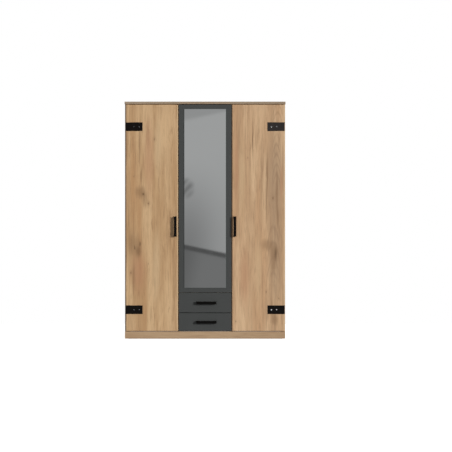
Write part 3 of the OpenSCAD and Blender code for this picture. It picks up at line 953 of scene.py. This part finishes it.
def outline_edges(mesh: BMesh) -> list[BMEdge]:
    """Finds the twelve outer edges of each box-shaped board, holes and grooves left out.

    Args:
        mesh: The mesh data.

    Returns:
        The edges that lie on two faces of their board's own box.
    """
    chosen = []
    for part in islands(mesh):
        low, high = corners(part)

        def planes(vert: BMVert) -> set[int]:
            """Numbers of the box faces that a corner lies on."""
            near = {i for i in range(3) if abs(vert.co[i] - low[i]) < ON_FACE}
            return near | {i + 3 for i in range(3) if abs(vert.co[i] - high[i]) < ON_FACE}

        on = {vert: planes(vert) for vert in part}
        edges = {edge for vert in part for edge in vert.link_edges}
        chosen += [edge for edge in edges if len(on[edge.verts[0]] & on[edge.verts[1]]) >= 2]
    return chosen


def to_mesh(data: BMesh, name: str) -> Mesh:
    """Writes mesh data to a new mesh and frees it.

    Args:
        data: The mesh data.
        name: The mesh's name.

    Returns:
        The mesh.
    """
    mesh = bpy.data.meshes.new(name)
    data.to_mesh(mesh)
    data.free()
    return mesh


@dataclass
class Part:
    """One node of the frame and the finish that it gets."""

    bench: Bench
    node: str
    finish: Material

    ENDING = ""

    def build(self) -> Mesh:
        """Makes the mesh; each kind of part has its own way."""
        raise NotImplementedError

    def finishes(self) -> list[Material]:
        """The materials, in the order of the mesh's slots."""
        return [self.finish]

    def dress(self) -> Object:
        """Builds the piece and gives it its finish, in the node's stead."""
        mesh, name = self.build(), self.node + self.ENDING
        return self.bench.settle(mesh, name, self.node, self.finishes(), [self.node])


@dataclass
class Board(Part):
    """A node made of flat boards, with its outer edges eased as edge banding is."""

    radius: float = 0.8 * MM
    segments: int = 3
    band: Material | None = None

    ENDING = "_board"

    def build(self) -> Mesh:
        """Makes the mesh, its front edge in the second material.

        Returns:
            The eased board or boards.
        """
        data = self.bench.welded(self.node)
        for face in data.faces:
            face.material_index = 1 if self.band and face.normal.y < -0.9 else 0
        bmesh.ops.bevel(
            data,
            geom=outline_edges(data),
            offset=self.radius,
            segments=self.segments,
            profile=0.5,
            affect="EDGES",
        )
        return to_mesh(data, self.node + self.ENDING)

    def finishes(self) -> list[Material]:
        """The board's own finish, and its front edge's where that differs."""
        return [self.finish, self.band] if self.band else [self.finish]


@dataclass
class Hardware(Part):
    """A metal or plastic node, with every sharp edge broken and its round faces smooth."""

    radius: float = 0.25 * MM
    segments: int = 2
    sharp: float = 38.0

    ENDING = "_finished"

    def build(self) -> Mesh:
        """Makes the mesh.

        Returns:
            The finished shape.
        """
        data = self.bench.welded(self.node)
        for face in data.faces:
            face.smooth = True
        holder = linked("holder", to_mesh(data, self.node + "_rough"))
        bevel = holder.modifiers.new("bevel", "BEVEL")
        bevel.width = self.radius
        bevel.segments = self.segments
        bevel.limit_method = "ANGLE"
        bevel.angle_limit = math.radians(self.sharp)
        bevel.use_clamp_overlap = True
        holder.modifiers.new("normals", "WEIGHTED_NORMAL").keep_sharp = True
        result = kept(holder)
        result.name = self.node + self.ENDING
        return result


# ---- turned parts


@dataclass(frozen=True)
class Turned:
    """Sizes of a screw, nail or pin, measured from the underside of its head."""

    shank_radius: float
    shank_length: float
    head_radius: float
    head_height: float
    dome_height: float = 0.0
    drive: float = 0.0


class SolidKit(NodeKit):
    """Adds closed solids to a geometry tree."""

    def moved(self, solid: Val, **how: Any) -> Val:
        """The solid moved, turned or scaled."""
        return self.add("GeometryNodeTransform", None, {0: solid, **how})

    def rod(self, radius: Val, length: Val, middle: Val, sides: int) -> Val:
        """Adds a closed rod along Z.

        Args:
            radius: The rod's radius.
            length: Its length.
            middle: Height of its middle.
            sides: Number of sides.

        Returns:
            The rod.
        """
        size = {"Vertices": sides, "Radius": radius, "Depth": length}
        rod = self.add("GeometryNodeMeshCylinder", {"fill_type": "NGON"}, size)
        return self.moved(rod, Translation=self.vector(0.0, 0.0, middle))

    def boolean(self, operation: str, first: Val | None, others: Sequence[Val]) -> Val:
        """Adds a boolean of closed solids.

        Args:
            operation: UNION or DIFFERENCE.
            first: The solid that is cut, where there is one.
            others: The solids that are joined or taken away.

        Returns:
            The closed result.
        """
        how = {"operation": operation, "solver": "MANIFOLD"}
        result = self.add("GeometryNodeMeshBoolean", how, {0: first} if first else {})
        for other in others:
            self.tree.links.new(other.socket, result.socket.node.inputs[1])
        return result

    def either(self, size: Val, there: Val, missing: Val) -> Val:
        """Adds a switch on whether a size is more than nothing.

        Args:
            size: The size, in millimetres.
            there: Geometry where it is.
            missing: Geometry where it isn't.

        Returns:
            The chosen geometry.
        """
        more = self.add("ShaderNodeMath", {"operation": "GREATER_THAN"}, {0: size, 1: 1e-4})
        ways = {"Switch": more, "False": missing, "True": there}
        return self.add("GeometryNodeSwitch", {"input_type": "GEOMETRY"}, ways)


@dataclass
class TurnedTree:
    """The node tree that stands one turned part at each vertex, along the attribute axis."""

    seed: int = 7
    shank_sides: int = 14
    head_sides: int = 28
    dome_rings: int = 14
    dome_width: float = 0.985
    dome_sink: float = 0.98
    slot_width: float = 0.24
    slot_depth: float = 0.6
    slot_lift: float = 0.05

    INPUTS = ("Shank Radius", "Shank Length", "Head Radius", "Head Height", "Dome Height", "Drive")

    def __post_init__(self) -> None:
        """Builds the tree."""
        self.tree = tree = bpy.data.node_groups.new("turned_parts", "GeometryNodeTree")
        kinds = dict.fromkeys(self.INPUTS, "NodeSocketFloat")
        kinds = {"Geometry": "NodeSocketGeometry", **kinds, "Material": "NodeSocketMaterial"}
        for name, kind in kinds.items():
            tree.interface.new_socket(name=name, in_out="INPUT", socket_type=kind)
        tree.interface.new_socket(
            name="Geometry", in_out="OUTPUT", socket_type="NodeSocketGeometry"
        )
        kit = SolidKit(tree)
        entry = tree.nodes.new("NodeGroupInput")
        given = {socket.name: Val(kit, socket) for socket in entry.outputs if socket.name}
        sizes = {name: given[name] * (1.0 / MM) for name in self.INPUTS}
        part = kit.moved(self._part(kit, sizes), Scale=(MM, MM, MM))
        vectors = {"data_type": "FLOAT_VECTOR"}
        axis = kit.add("GeometryNodeInputNamedAttribute", vectors, {0: "axis"})
        turn = kit.add("FunctionNodeAlignRotationToVector", {"axis": "Z"}, {2: axis})
        full_turn = {2: 0.0, 3: math.tau, 8: self.seed}
        roll = kit.add("FunctionNodeRandomValue", {"data_type": "FLOAT"}, full_turn, 1)
        about = {"Axis": (0.0, 0.0, 1.0), "Angle": roll}
        spin = kit.add("FunctionNodeAxisAngleToRotation", None, about)
        own = {"rotation_space": "LOCAL"}
        turn = kit.add("FunctionNodeRotateRotation", own, {0: turn, 1: spin})
        stood = {"Points": given["Geometry"], "Instance": part, "Rotation": turn}
        placed = kit.add("GeometryNodeInstanceOnPoints", None, stood)
        real = kit.add("GeometryNodeRealizeInstances", None, {0: placed})
        flat = kit.add("GeometryNodeSetShadeSmooth", None, {0: real, "Shade Smooth": False})
        finish = {0: flat, "Material": given["Material"]}
        dressed = kit.add("GeometryNodeSetMaterial", None, finish)
        kit.put(tree.nodes.new("NodeGroupOutput").inputs[0], dressed)

    def _part(self, kit: SolidKit, given: dict[str, Val]) -> Val:
        """Makes one part: a shank, a flat head, a dome on it and a cross recess in the dome.

        Args:
            kit: The tree's builder.
            given: The part's sizes in millimetres, by the names of the tree's inputs.

        Returns:
            The part, its head towards +Z.
        """
        shank_r, shank_l, head_r, head_h, dome_h, drive = (given[name] for name in self.INPUTS)
        sunk = head_h * 0.5
        shank = kit.rod(shank_r, shank_l + sunk, (shank_l - sunk) * -0.5, self.shank_sides)
        head = kit.rod(head_r, head_h, sunk, self.head_sides)
        round_ball = {"Segments": self.head_sides, "Rings": self.dome_rings, "Radius": 1.0}
        ball = kit.add("GeometryNodeMeshUVSphere", None, round_ball)
        flat = kit.vector(head_r * self.dome_width, head_r * self.dome_width, dome_h)
        seat = kit.vector(0.0, 0.0, head_h * self.dome_sink)
        dome = kit.moved(ball, Translation=seat, Scale=flat)
        size = kit.vector(drive, drive * self.slot_width, drive * self.slot_depth)
        bar = kit.add("GeometryNodeMeshCube", None, {"Size": size})
        top = kit.vector(0.0, 0.0, head_h + dome_h + drive * self.slot_lift)
        turns = (0.0, math.pi / 2)
        slots = [kit.moved(bar, Translation=top, Rotation=(0.0, 0.0, turn)) for turn in turns]
        plain = kit.boolean("UNION", None, (shank, head))
        domed = kit.boolean("UNION", None, (shank, head, dome))
        driven = kit.boolean("DIFFERENCE", domed, slots)
        return kit.either(dome_h, kit.either(drive, driven, domed), plain)

    def place(
        self,
        name: str,
        spots: Sequence[tuple[Vector, Vector]],
        sizes: Turned,
        finish: Material,
    ) -> Mesh:
        """Makes the mesh of a set of like parts.

        Args:
            name: The mesh's name.
            spots: For each part, the middle of its head's underside and the way its head points.
            sizes: The parts' sizes.
            finish: The parts' material.

        Returns:
            A plain mesh.
        """
        points = bpy.data.meshes.new(name + "_points")
        points.from_pydata([spot for spot, _ in spots], [], [])
        axis = points.attributes.new("axis", "FLOAT_VECTOR", "POINT")
        axis.data.foreach_set("vector", [c for _, way in spots for c in way])
        holder = linked(name + "_holder", points)
        modifier = holder.modifiers.new("turned", "NODES")
        modifier.node_group = self.tree
        sockets = [s for s in self.tree.interface.items_tree if s.in_out == "INPUT"][1:]
        for socket, value in zip(sockets, (*astuple(sizes), finish)):
            modifier[socket.identifier] = value
        holder.update_tag()
        mesh = kept(holder)
        mesh.name = name
        return mesh


@dataclass
class Screws(Part):
    """All the screws of one node, made by the node tree at their measured places."""

    tree: TurnedTree

    ENDING = "_turned"

    def build(self) -> Mesh:
        """Makes the screws' mesh.

        Returns:
            A plain mesh.
        """
        data = bmesh.new()
        for sizes, spots in self.bench.turned(self.node).items():
            data.from_mesh(self.tree.place(self.node, spots, sizes, self.finish))
        return to_mesh(data, self.node + self.ENDING)


# ---- sub-assemblies


@dataclass
class Palette:
    """Every finish of the wardrobe, each built once."""

    oak: OakDecor = OakDecor("oak_upright", Grain.UPRIGHT, 3.1)
    # Darker copies of the oak, as painted shade: the first on the top board's front edge, the
    # second on the plinth, the top board and the bottom board's front edge
    top_oak: OakDecor = OakDecor(
        "oak_top_painted_shade", Grain.LEVEL, 8.4, srgb(166, 147, 125), srgb(152, 132, 108), srgb(128, 106, 82)
    )
    plinth_oak: OakDecor = OakDecor(
        "oak_painted_shade", Grain.LEVEL, 2.2, srgb(184, 154, 120), srgb(170, 137, 104), srgb(142, 109, 79)
    )
    left_oak: OakDecor = OakDecor("oak_left_door", marks=LEFT_MARKS)
    right_oak: OakDecor = OakDecor(
        "oak_right_door",
        Grain.UPRIGHT,
        5.7,
        srgb(217, 182, 142),
        srgb(195, 158, 120),
        srgb(142, 108, 78),
        srgb(190, 147, 107),
        marks=RIGHT_MARKS,
        cathedrals=RIGHT_ARCHES,
    )
    linen: Melamine = Melamine(
        "linen_melamine", srgb(205, 198, 185), srgb(190, 181, 166), 0.55, linen=True
    )
    graphite: Melamine = Melamine("graphite_melamine", srgb(64, 66, 65), srgb(58, 60, 59), 0.5)
    hardboard: Hardboard = Hardboard("printed_hardboard", srgb(214, 207, 193), srgb(188, 178, 160))
    black: PowderCoat = PowderCoat("black_powder_coat")
    strap_black: PowderCoat = PowderCoat("strap_coat", srgb(16, 12, 9), srgb(31, 27, 24))
    # Paler copy of the strap coat: painted sheen on the right door's upper strap
    strap_grey: PowderCoat = PowderCoat("strap_coat_painted_sheen", srgb(47, 43, 42), srgb(66, 61, 59))
    blued: PlatedSteel = PlatedSteel("blued_steel", (0.13, 0.13, 0.14), (0.07, 0.07, 0.08), 0.34)
    # Brighter copy of the screw steel: painted glints on the right door's strap screws
    bright: PlatedSteel = PlatedSteel("steel_painted_glint", (0.62, 0.62, 0.64), (0.4, 0.4, 0.41), 0.32)
    nickel: PlatedSteel = PlatedSteel("nickel_plate", (0.62, 0.6, 0.57), (0.42, 0.4, 0.37), 0.3)
    zinc: PlatedSteel = PlatedSteel("zinc_plate", (0.58, 0.58, 0.57), (0.4, 0.4, 0.4), 0.36)
    chrome: PlatedSteel = PlatedSteel(
        "chrome_tube", (0.78, 0.79, 0.8), (0.6, 0.61, 0.62), 0.14, (20, 700, 700)
    )
    plastic: Moulded = Moulded("white_nylon", srgb(214, 212, 204))
    glass: SilveredGlass = SilveredGlass()
    glass_edge: GlassEdge = GlassEdge()
    made: dict[str, Material] = field(default_factory=dict)

    def __getitem__(self, name: str) -> Material:
        """The material of one finish, by its field's name."""
        if name not in self.made:
            self.made[name] = getattr(self, name).material()
        return self.made[name]


@dataclass
class Group:
    """A sub-assembly, with the bench, the finishes and the turned parts that it is made with."""

    bench: Bench
    palette: Palette
    tree: TurnedTree

    BACKS = ("left_back", "middle_back", "right_back")
    BOW = (2.2 * MM, 4, 30)
    PANEL = (1.6 * MM, 4)
    SHEET = (0.3 * MM, 1)

    def board(self, node: str, finish: str, *shape: float) -> Board:
        """A node of boards in one finish."""
        return Board(self.bench, node, self.palette[finish], *shape)

    def hardware(self, node: str, finish: str, *shape: float) -> Hardware:
        """A metal or plastic node in one finish."""
        return Hardware(self.bench, node, self.palette[finish], *shape)

    def screws(self, node: str, finish: str) -> Screws:
        """A node of screws in one finish."""
        return Screws(self.bench, node, self.palette[finish], self.tree)

    def build(self) -> list[Part]:
        """Lists the parts; each sub-assembly has its own."""
        raise NotImplementedError

    def dress(self) -> list[Object]:
        """Builds and dresses the parts, in their order."""
        return [part.dress() for part in self.build()]


@dataclass
class Carcass(Group):
    """Side panels, partitions, top, bottom and plinth, with their banded edges."""

    edge: float = 0.9 * MM

    def build(self) -> list[Part]:
        """Lists the boards, each with its finish and that of its front edge where it differs; the
        darker oak finishes are painted shade.

        Returns:
            The boards.
        """
        # The darker oak on the plinth and top board, and on the front edges of the top and bottom
        # boards, is painted shade
        finishes = {
            "left_side": ("oak", ""),
            "right_side": ("oak", ""),
            "left_partition": ("oak", ""),
            "right_partition": ("oak", ""),
            "top_board": ("plinth_oak", "top_oak"),
            "front_plinth": ("plinth_oak", ""),
            "bottom_board": ("linen", "plinth_oak"),
            "plinth_braces": ("linen", ""),
        }
        boards = []
        for node, (finish, band) in finishes.items():
            board = self.board(node, finish, self.edge)
            board.band = self.palette[band] if band else None
            boards.append(board)
        return boards


@dataclass
class Interior(Group):
    """Shelves, their pins, the rail and the small fittings inside and under the wardrobe."""

    edge: float = 0.7 * MM

    def build(self) -> list[Part]:
        """Lists the shelves and fittings.

        Returns:
            The parts.
        """
        shelves = ("fixed_shelf", "left_shelves", "middle_shelves", "hat_shelf")
        fittings = {
            "shelf_pins": "zinc",
            "clothes_rail": "chrome",
            "rail_brackets": "chrome",
            "cam_fittings": "zinc",
            "wall_brackets": "zinc",
            "slide_strips": "plastic",
            "floor_glides": "plastic",
            "hinge_arms": "nickel",
            "hinge_plates": "nickel",
            "latch_housing": "plastic",
            "latch_plunger": "plastic",
        }
        return [
            *(self.board(node, "linen", self.edge) for node in shelves),
            *(self.hardware(node, finish) for node, finish in fittings.items()),
            self.screws("hinge_screws", "zinc"),
        ]


@dataclass
class BackPanels(Group):
    """Three hardboard panels, with the nails that hold them to the carcass."""

    pitch: float = 120 * MM
    inset: float = 5 * MM
    nail: Turned = Turned(0.7 * MM, 14 * MM, 1.9 * MM, 0.3 * MM, 0.35 * MM, 0.0)

    def build(self) -> list[Part]:
        """Lists the panels."""
        return [self.board(node, "hardboard", *self.SHEET) for node in self.BACKS]

    def nails(self) -> Mesh:
        """Makes the nails along each panel's outline.

        Returns:
            The nails' mesh.
        """
        spots = []
        for node in self.BACKS:
            low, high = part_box(node)
            x0, x1 = low.x + self.inset, high.x - self.inset
            z0, z1 = low.z + self.inset, high.z - self.inset
            tall, wide = z1 - z0, x1 - x0
            rows, columns = round(tall / self.pitch), round(wide / self.pitch)
            spots += [(x, z0 + tall * i / rows) for i in range(rows + 1) for x in (x0, x1)]
            spots += [(x0 + wide * i / columns, z) for i in range(1, columns) for z in (z0, z1)]
        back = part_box("middle_back")[1].y
        placed = [(Vector((x, back, z)), AXES[1]) for x, z in spots]
        return self.tree.place("panel_nails", placed, self.nail, self.palette["zinc"])

    def dress(self) -> list[Object]:
        """Dresses the panels and sets the nails.

        Returns:
            The pieces.
        """
        panels = super().dress()
        nails = self.bench.settle(
            self.nails(), "panel_nails", "middle_back", [self.palette["zinc"]], (), "zinc_steel"
        )
        return [*panels, nails]


@dataclass
class HingeParts(Group):
    """The parts of a door's hinges that go with the door, and the links between."""

    door: str

    def build(self) -> list[Part]:
        """Lists the parts.

        Returns:
            The cups, the links and the screws in the door's back.
        """
        return [
            self.hardware(self.door + "_hinge_cups", "nickel"),
            self.hardware(self.door + "_hinge_links", "nickel"),
            self.screws(self.door + "_door_screws", "zinc"),
        ]


@dataclass
class OuterDoor(HingeParts):
    """An oak door with its strap plates, bow handle and hinges."""

    STRAP = (0.5 * MM, 3, 30)

    def build(self) -> list[Part]:
        """Lists the door's parts; on the right door the paler upper strap is painted sheen and the
        brighter screws painted glints.

        Returns:
            The parts.
        """
        # The right door's upper strap and screws get paler copies: painted sheen and painted glints
        sheen_side = self.door == "right"
        return [
            self.board(self.door + "_door", self.door + "_oak", *self.PANEL),
            self.hardware(self.door + "_lower_strap", "strap_black", *self.STRAP),
            self.hardware(
                self.door + "_upper_strap", "strap_grey" if sheen_side else "strap_black", *self.STRAP
            ),
            self.hardware(self.door + "_handle", "black", *self.BOW),
            self.screws(self.door + "_strap_screws", "bright" if sheen_side else "blued"),
            *super().build(),
        ]


@dataclass
class MirrorDoor(HingeParts):
    """The graphite door with the mirror stuck to its front."""

    seam: float = 1.2 * MM

    def mirror(self) -> Mesh:
        """Makes the mirror: the silvered face is the first material and the ground edge the second.

        Returns:
            The mirror's mesh.
        """
        data = self.bench.welded("mirror_glass")
        bmesh.ops.bevel(
            data, geom=outline_edges(data), offset=self.seam, segments=1, affect="EDGES"
        )
        data.normal_update()
        for face in data.faces:
            face.material_index = 0 if face.normal.y < -0.99 else 1
        return to_mesh(data, "mirror")

    def dress(self) -> list[Object]:
        """Builds the door, its mirror and its hinges, and dresses them.

        Returns:
            The pieces.
        """
        finishes = [self.palette["glass"], self.palette["glass_edge"]]
        mirror = self.bench.settle(
            self.mirror(), "mirror", "mirror_glass", finishes, ["mirror_glass"]
        )
        door = self.board("middle_door", "graphite", *self.PANEL).dress()
        return [door, mirror, *super().dress()]


@dataclass
class Drawer(Group):
    """One drawer: a graphite front, a pale box and a bow handle."""

    level: str

    def build(self) -> list[Part]:
        """Lists the drawer's parts.

        Returns:
            The parts.
        """
        name = self.level + "_drawer_"
        return [
            self.board(name + "front", "graphite", *self.PANEL),
            self.board(name + "sides", "linen"),
            self.board(name + "back", "linen"),
            self.board(name + "bottom", "hardboard", *self.SHEET),
            self.hardware(name + "handle", "black", *self.BOW),
            self.screws(name + "screws", "zinc"),
        ]


# ---- studio


def grey(value: float) -> Colour:
    """A neutral colour."""
    return (value,) * 3


@dataclass(frozen=True)
class Room:
    """The room that the mirror shows, in greys; lines are slopes away from straight ahead."""

    wall: float = 0.352
    dim_wall: float = 0.2
    ceiling: float = 0.283
    leaf: float = 0.1
    floor: float = 0.158
    near_floor: float = 0.118
    skirting: float = 0.072
    slant: float = 0.214
    ceiling_line: tuple[float, float] = (0.0755, 0.0785)
    floor_line: tuple[float, float] = (-0.0182, -0.0162)
    skirting_foot: tuple[float, float] = (-0.0202, -0.0186)
    skirting_top: tuple[float, float] = (-0.0166, -0.0155)

    def paint(self, kit: NodeKit) -> Val:
        """Paints the wall, the ceiling, the floor, the skirting and a blurred plant.

        Args:
            kit: The world tree's builder.

        Returns:
            The room's colour.
        """
        way = kit.add("ShaderNodeTexCoord", None, None, "Generated")
        split = kit.add("ShaderNodeSeparateXYZ", None, {0: way}).socket.node
        x, y, z = (Val(kit, split.outputs[i]) for i in range(3))
        across, up = x / (y * -1), z / (y * -1)
        aside = kit.ease(across, -0.013, 0.016, 1.0, 0.35)
        dim = kit.ease(up, -0.013, 0.052, 1.0, 0.0) * aside
        room = kit.mix(dim, grey(self.wall), grey(self.dim_wall))
        above = kit.ease(up - across * self.slant, *self.ceiling_line)
        room = kit.mix(above, room, grey(self.ceiling))
        leaves = (up * 900 + across * 500 + (across * across) * 60000).sine() * 0.5 + 0.5
        beside = (across + 0.0135) / 0.0072
        higher = (up - 0.0265) / 0.0085
        near = kit.ease(beside * beside + higher * higher, 0.1, 1.0, 1.0, 0.0)
        room = kit.mix(near * (leaves * 0.45 + 0.25), room, grey(self.leaf))
        line = up + across * self.slant
        near_wall = kit.ease(across - up * 0.2, -0.012, 0.006, 1.0, 0.0)
        floor = kit.mix(near_wall, grey(self.floor), grey(self.near_floor))
        room = kit.mix(kit.ease(line, *self.floor_line, 1.0, 0.0), room, floor)
        foot = kit.ease(line, *self.skirting_foot)
        skirting = foot * kit.ease(line, *self.skirting_top, 1.0, 0.0)
        return kit.mix(skirting, room, grey(self.skirting))


@dataclass
class Studio:
    """Pale floor, soft light and the camera."""

    distance: float = 12.0
    eye_height: float = 0.947
    view_width: float = 3.790
    shift: float = 0.0463
    sensor: float = 36.0
    ambient: float = 0.34
    key_power: float = 2.75
    key_way: Colour = (-1.12, 1.0, -0.37)
    key_place: Colour = (6.0, -4.0, 3.0)
    key_spread: float = 0.22
    floor_glow: float = 0.8
    floor_side: float = 9.0
    floor_back: float = 1.5
    room: Room = Room()

    def build(self) -> None:
        """Makes the floor, the lights and the camera."""
        self._floor()
        self._key()
        self._camera()
        bpy.context.scene.view_settings.view_transform = "Standard"

    def dress(self) -> None:
        """Makes the world: white to the camera, soft on the object, a grey room in the mirror."""
        world = bpy.data.worlds.new("studio")
        bpy.context.scene.world = world
        world.use_nodes = True
        tree = world.node_tree
        tree.nodes.clear()
        kit = NodeKit(tree)
        paths = kit.add("ShaderNodeLightPath").socket.node
        camera = Val(kit, paths.outputs["Is Camera Ray"])
        mirrored = Val(kit, paths.outputs["Is Glossy Ray"])
        ambient = kit.mix(mirrored, grey(self.ambient), self.room.paint(kit))
        colour = kit.mix(camera, ambient, grey(1.0))
        glow = kit.add("ShaderNodeBackground", None, {"Color": colour, "Strength": 1.0})
        kit.put(tree.nodes.new("ShaderNodeOutputWorld").inputs["Surface"], glow)

    def _floor(self) -> None:
        """Lays the pale floor, which lights nothing itself, with painted shade under the carcass.
        """
        side, back = self.floor_side, self.floor_back
        mesh = bpy.data.meshes.new("floor")
        mesh.from_pydata(
            [(-side, -side, 0), (side, -side, 0), (side, back, 0), (-side, back, 0)],
            [],
            [(0, 1, 2, 3)],
        )
        floor = linked("floor", mesh)
        floor.visible_diffuse = False
        floor.visible_glossy = False
        surface = Surface("pale_floor")
        kit = surface.kit
        cloudy = surface.noise(2)
        x, y, _ = surface.axes()
        # Near-black and without glow inside the bottom board's outline: painted shade under the
        # carcass
        low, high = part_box("bottom_board")
        aside = x / ((high.x - low.x) / 2)
        deep = (y - (low.y + high.y) / 2) / ((high.y - low.y) / 2)
        inside = kit.ease(aside * aside, 0.96, 1.0, 1.0, 0.0)
        under = inside * kit.ease(deep * deep, 0.9, 1.0, 1.0, 0.0)
        colour = kit.mix(cloudy * 0.2, grey(0.9), grey(0.86))
        lit = surface.finish(
            Base_Color=kit.mix(under, colour, (0.05, 0.04, 0.03)),
            Roughness=0.9,
            Emission_Color=kit.mix(under, grey(1.0), grey(0.0)),
            Emission_Strength=self.floor_glow,
        )
        mesh.materials.append(lit)

    def _key(self) -> None:
        """Hangs the key light, on the right and a little above the doors."""
        light = bpy.data.lights.new("key", "SUN")
        light.angle = self.key_spread
        light.energy = self.key_power
        lamp = linked("key", light)
        lamp.location = self.key_place
        lamp.rotation_mode = "QUATERNION"
        lamp.rotation_quaternion = Vector(self.key_way).to_track_quat("-Z", "Y")

    def _camera(self) -> None:
        """Sets the camera square to the doors."""
        lens = bpy.data.cameras.new("camera")
        lens.sensor_width = self.sensor
        lens.lens = self.sensor * self.distance / self.view_width
        lens.shift_x = self.shift
        lens.clip_end = 100.0
        camera = linked("camera", lens)
        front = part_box("left_door")[0].y
        camera.location = (0.0, front - self.distance, self.eye_height)
        camera.rotation_euler = (math.pi / 2, 0.0, 0.0)
        bpy.context.scene.camera = camera


# ---- the whole


def main() -> None:
    """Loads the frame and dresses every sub-assembly in order."""
    logging.basicConfig(level=logging.INFO, format="%(name)s %(message)s")
    for old in list(bpy.data.objects):
        bpy.data.objects.remove(old)
    bench = Bench(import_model())
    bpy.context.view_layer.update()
    shared = (bench, Palette(), TurnedTree())
    stages = [
        Carcass(*shared),
        Interior(*shared),
        BackPanels(*shared),
        OuterDoor(*shared, "left"),
        MirrorDoor(*shared, "middle"),
        OuterDoor(*shared, "right"),
        Drawer(*shared, "lower"),
        Drawer(*shared, "upper"),
    ]
    for stage in stages:
        pieces = stage.dress()
        LOG.info("%s: %d pieces", type(stage).__name__, len(pieces))
    studio = Studio()
    studio.build()
    studio.dress()
    LOG.info("%d pieces in all", bench.made)


if __name__ == "__main__":
    main()
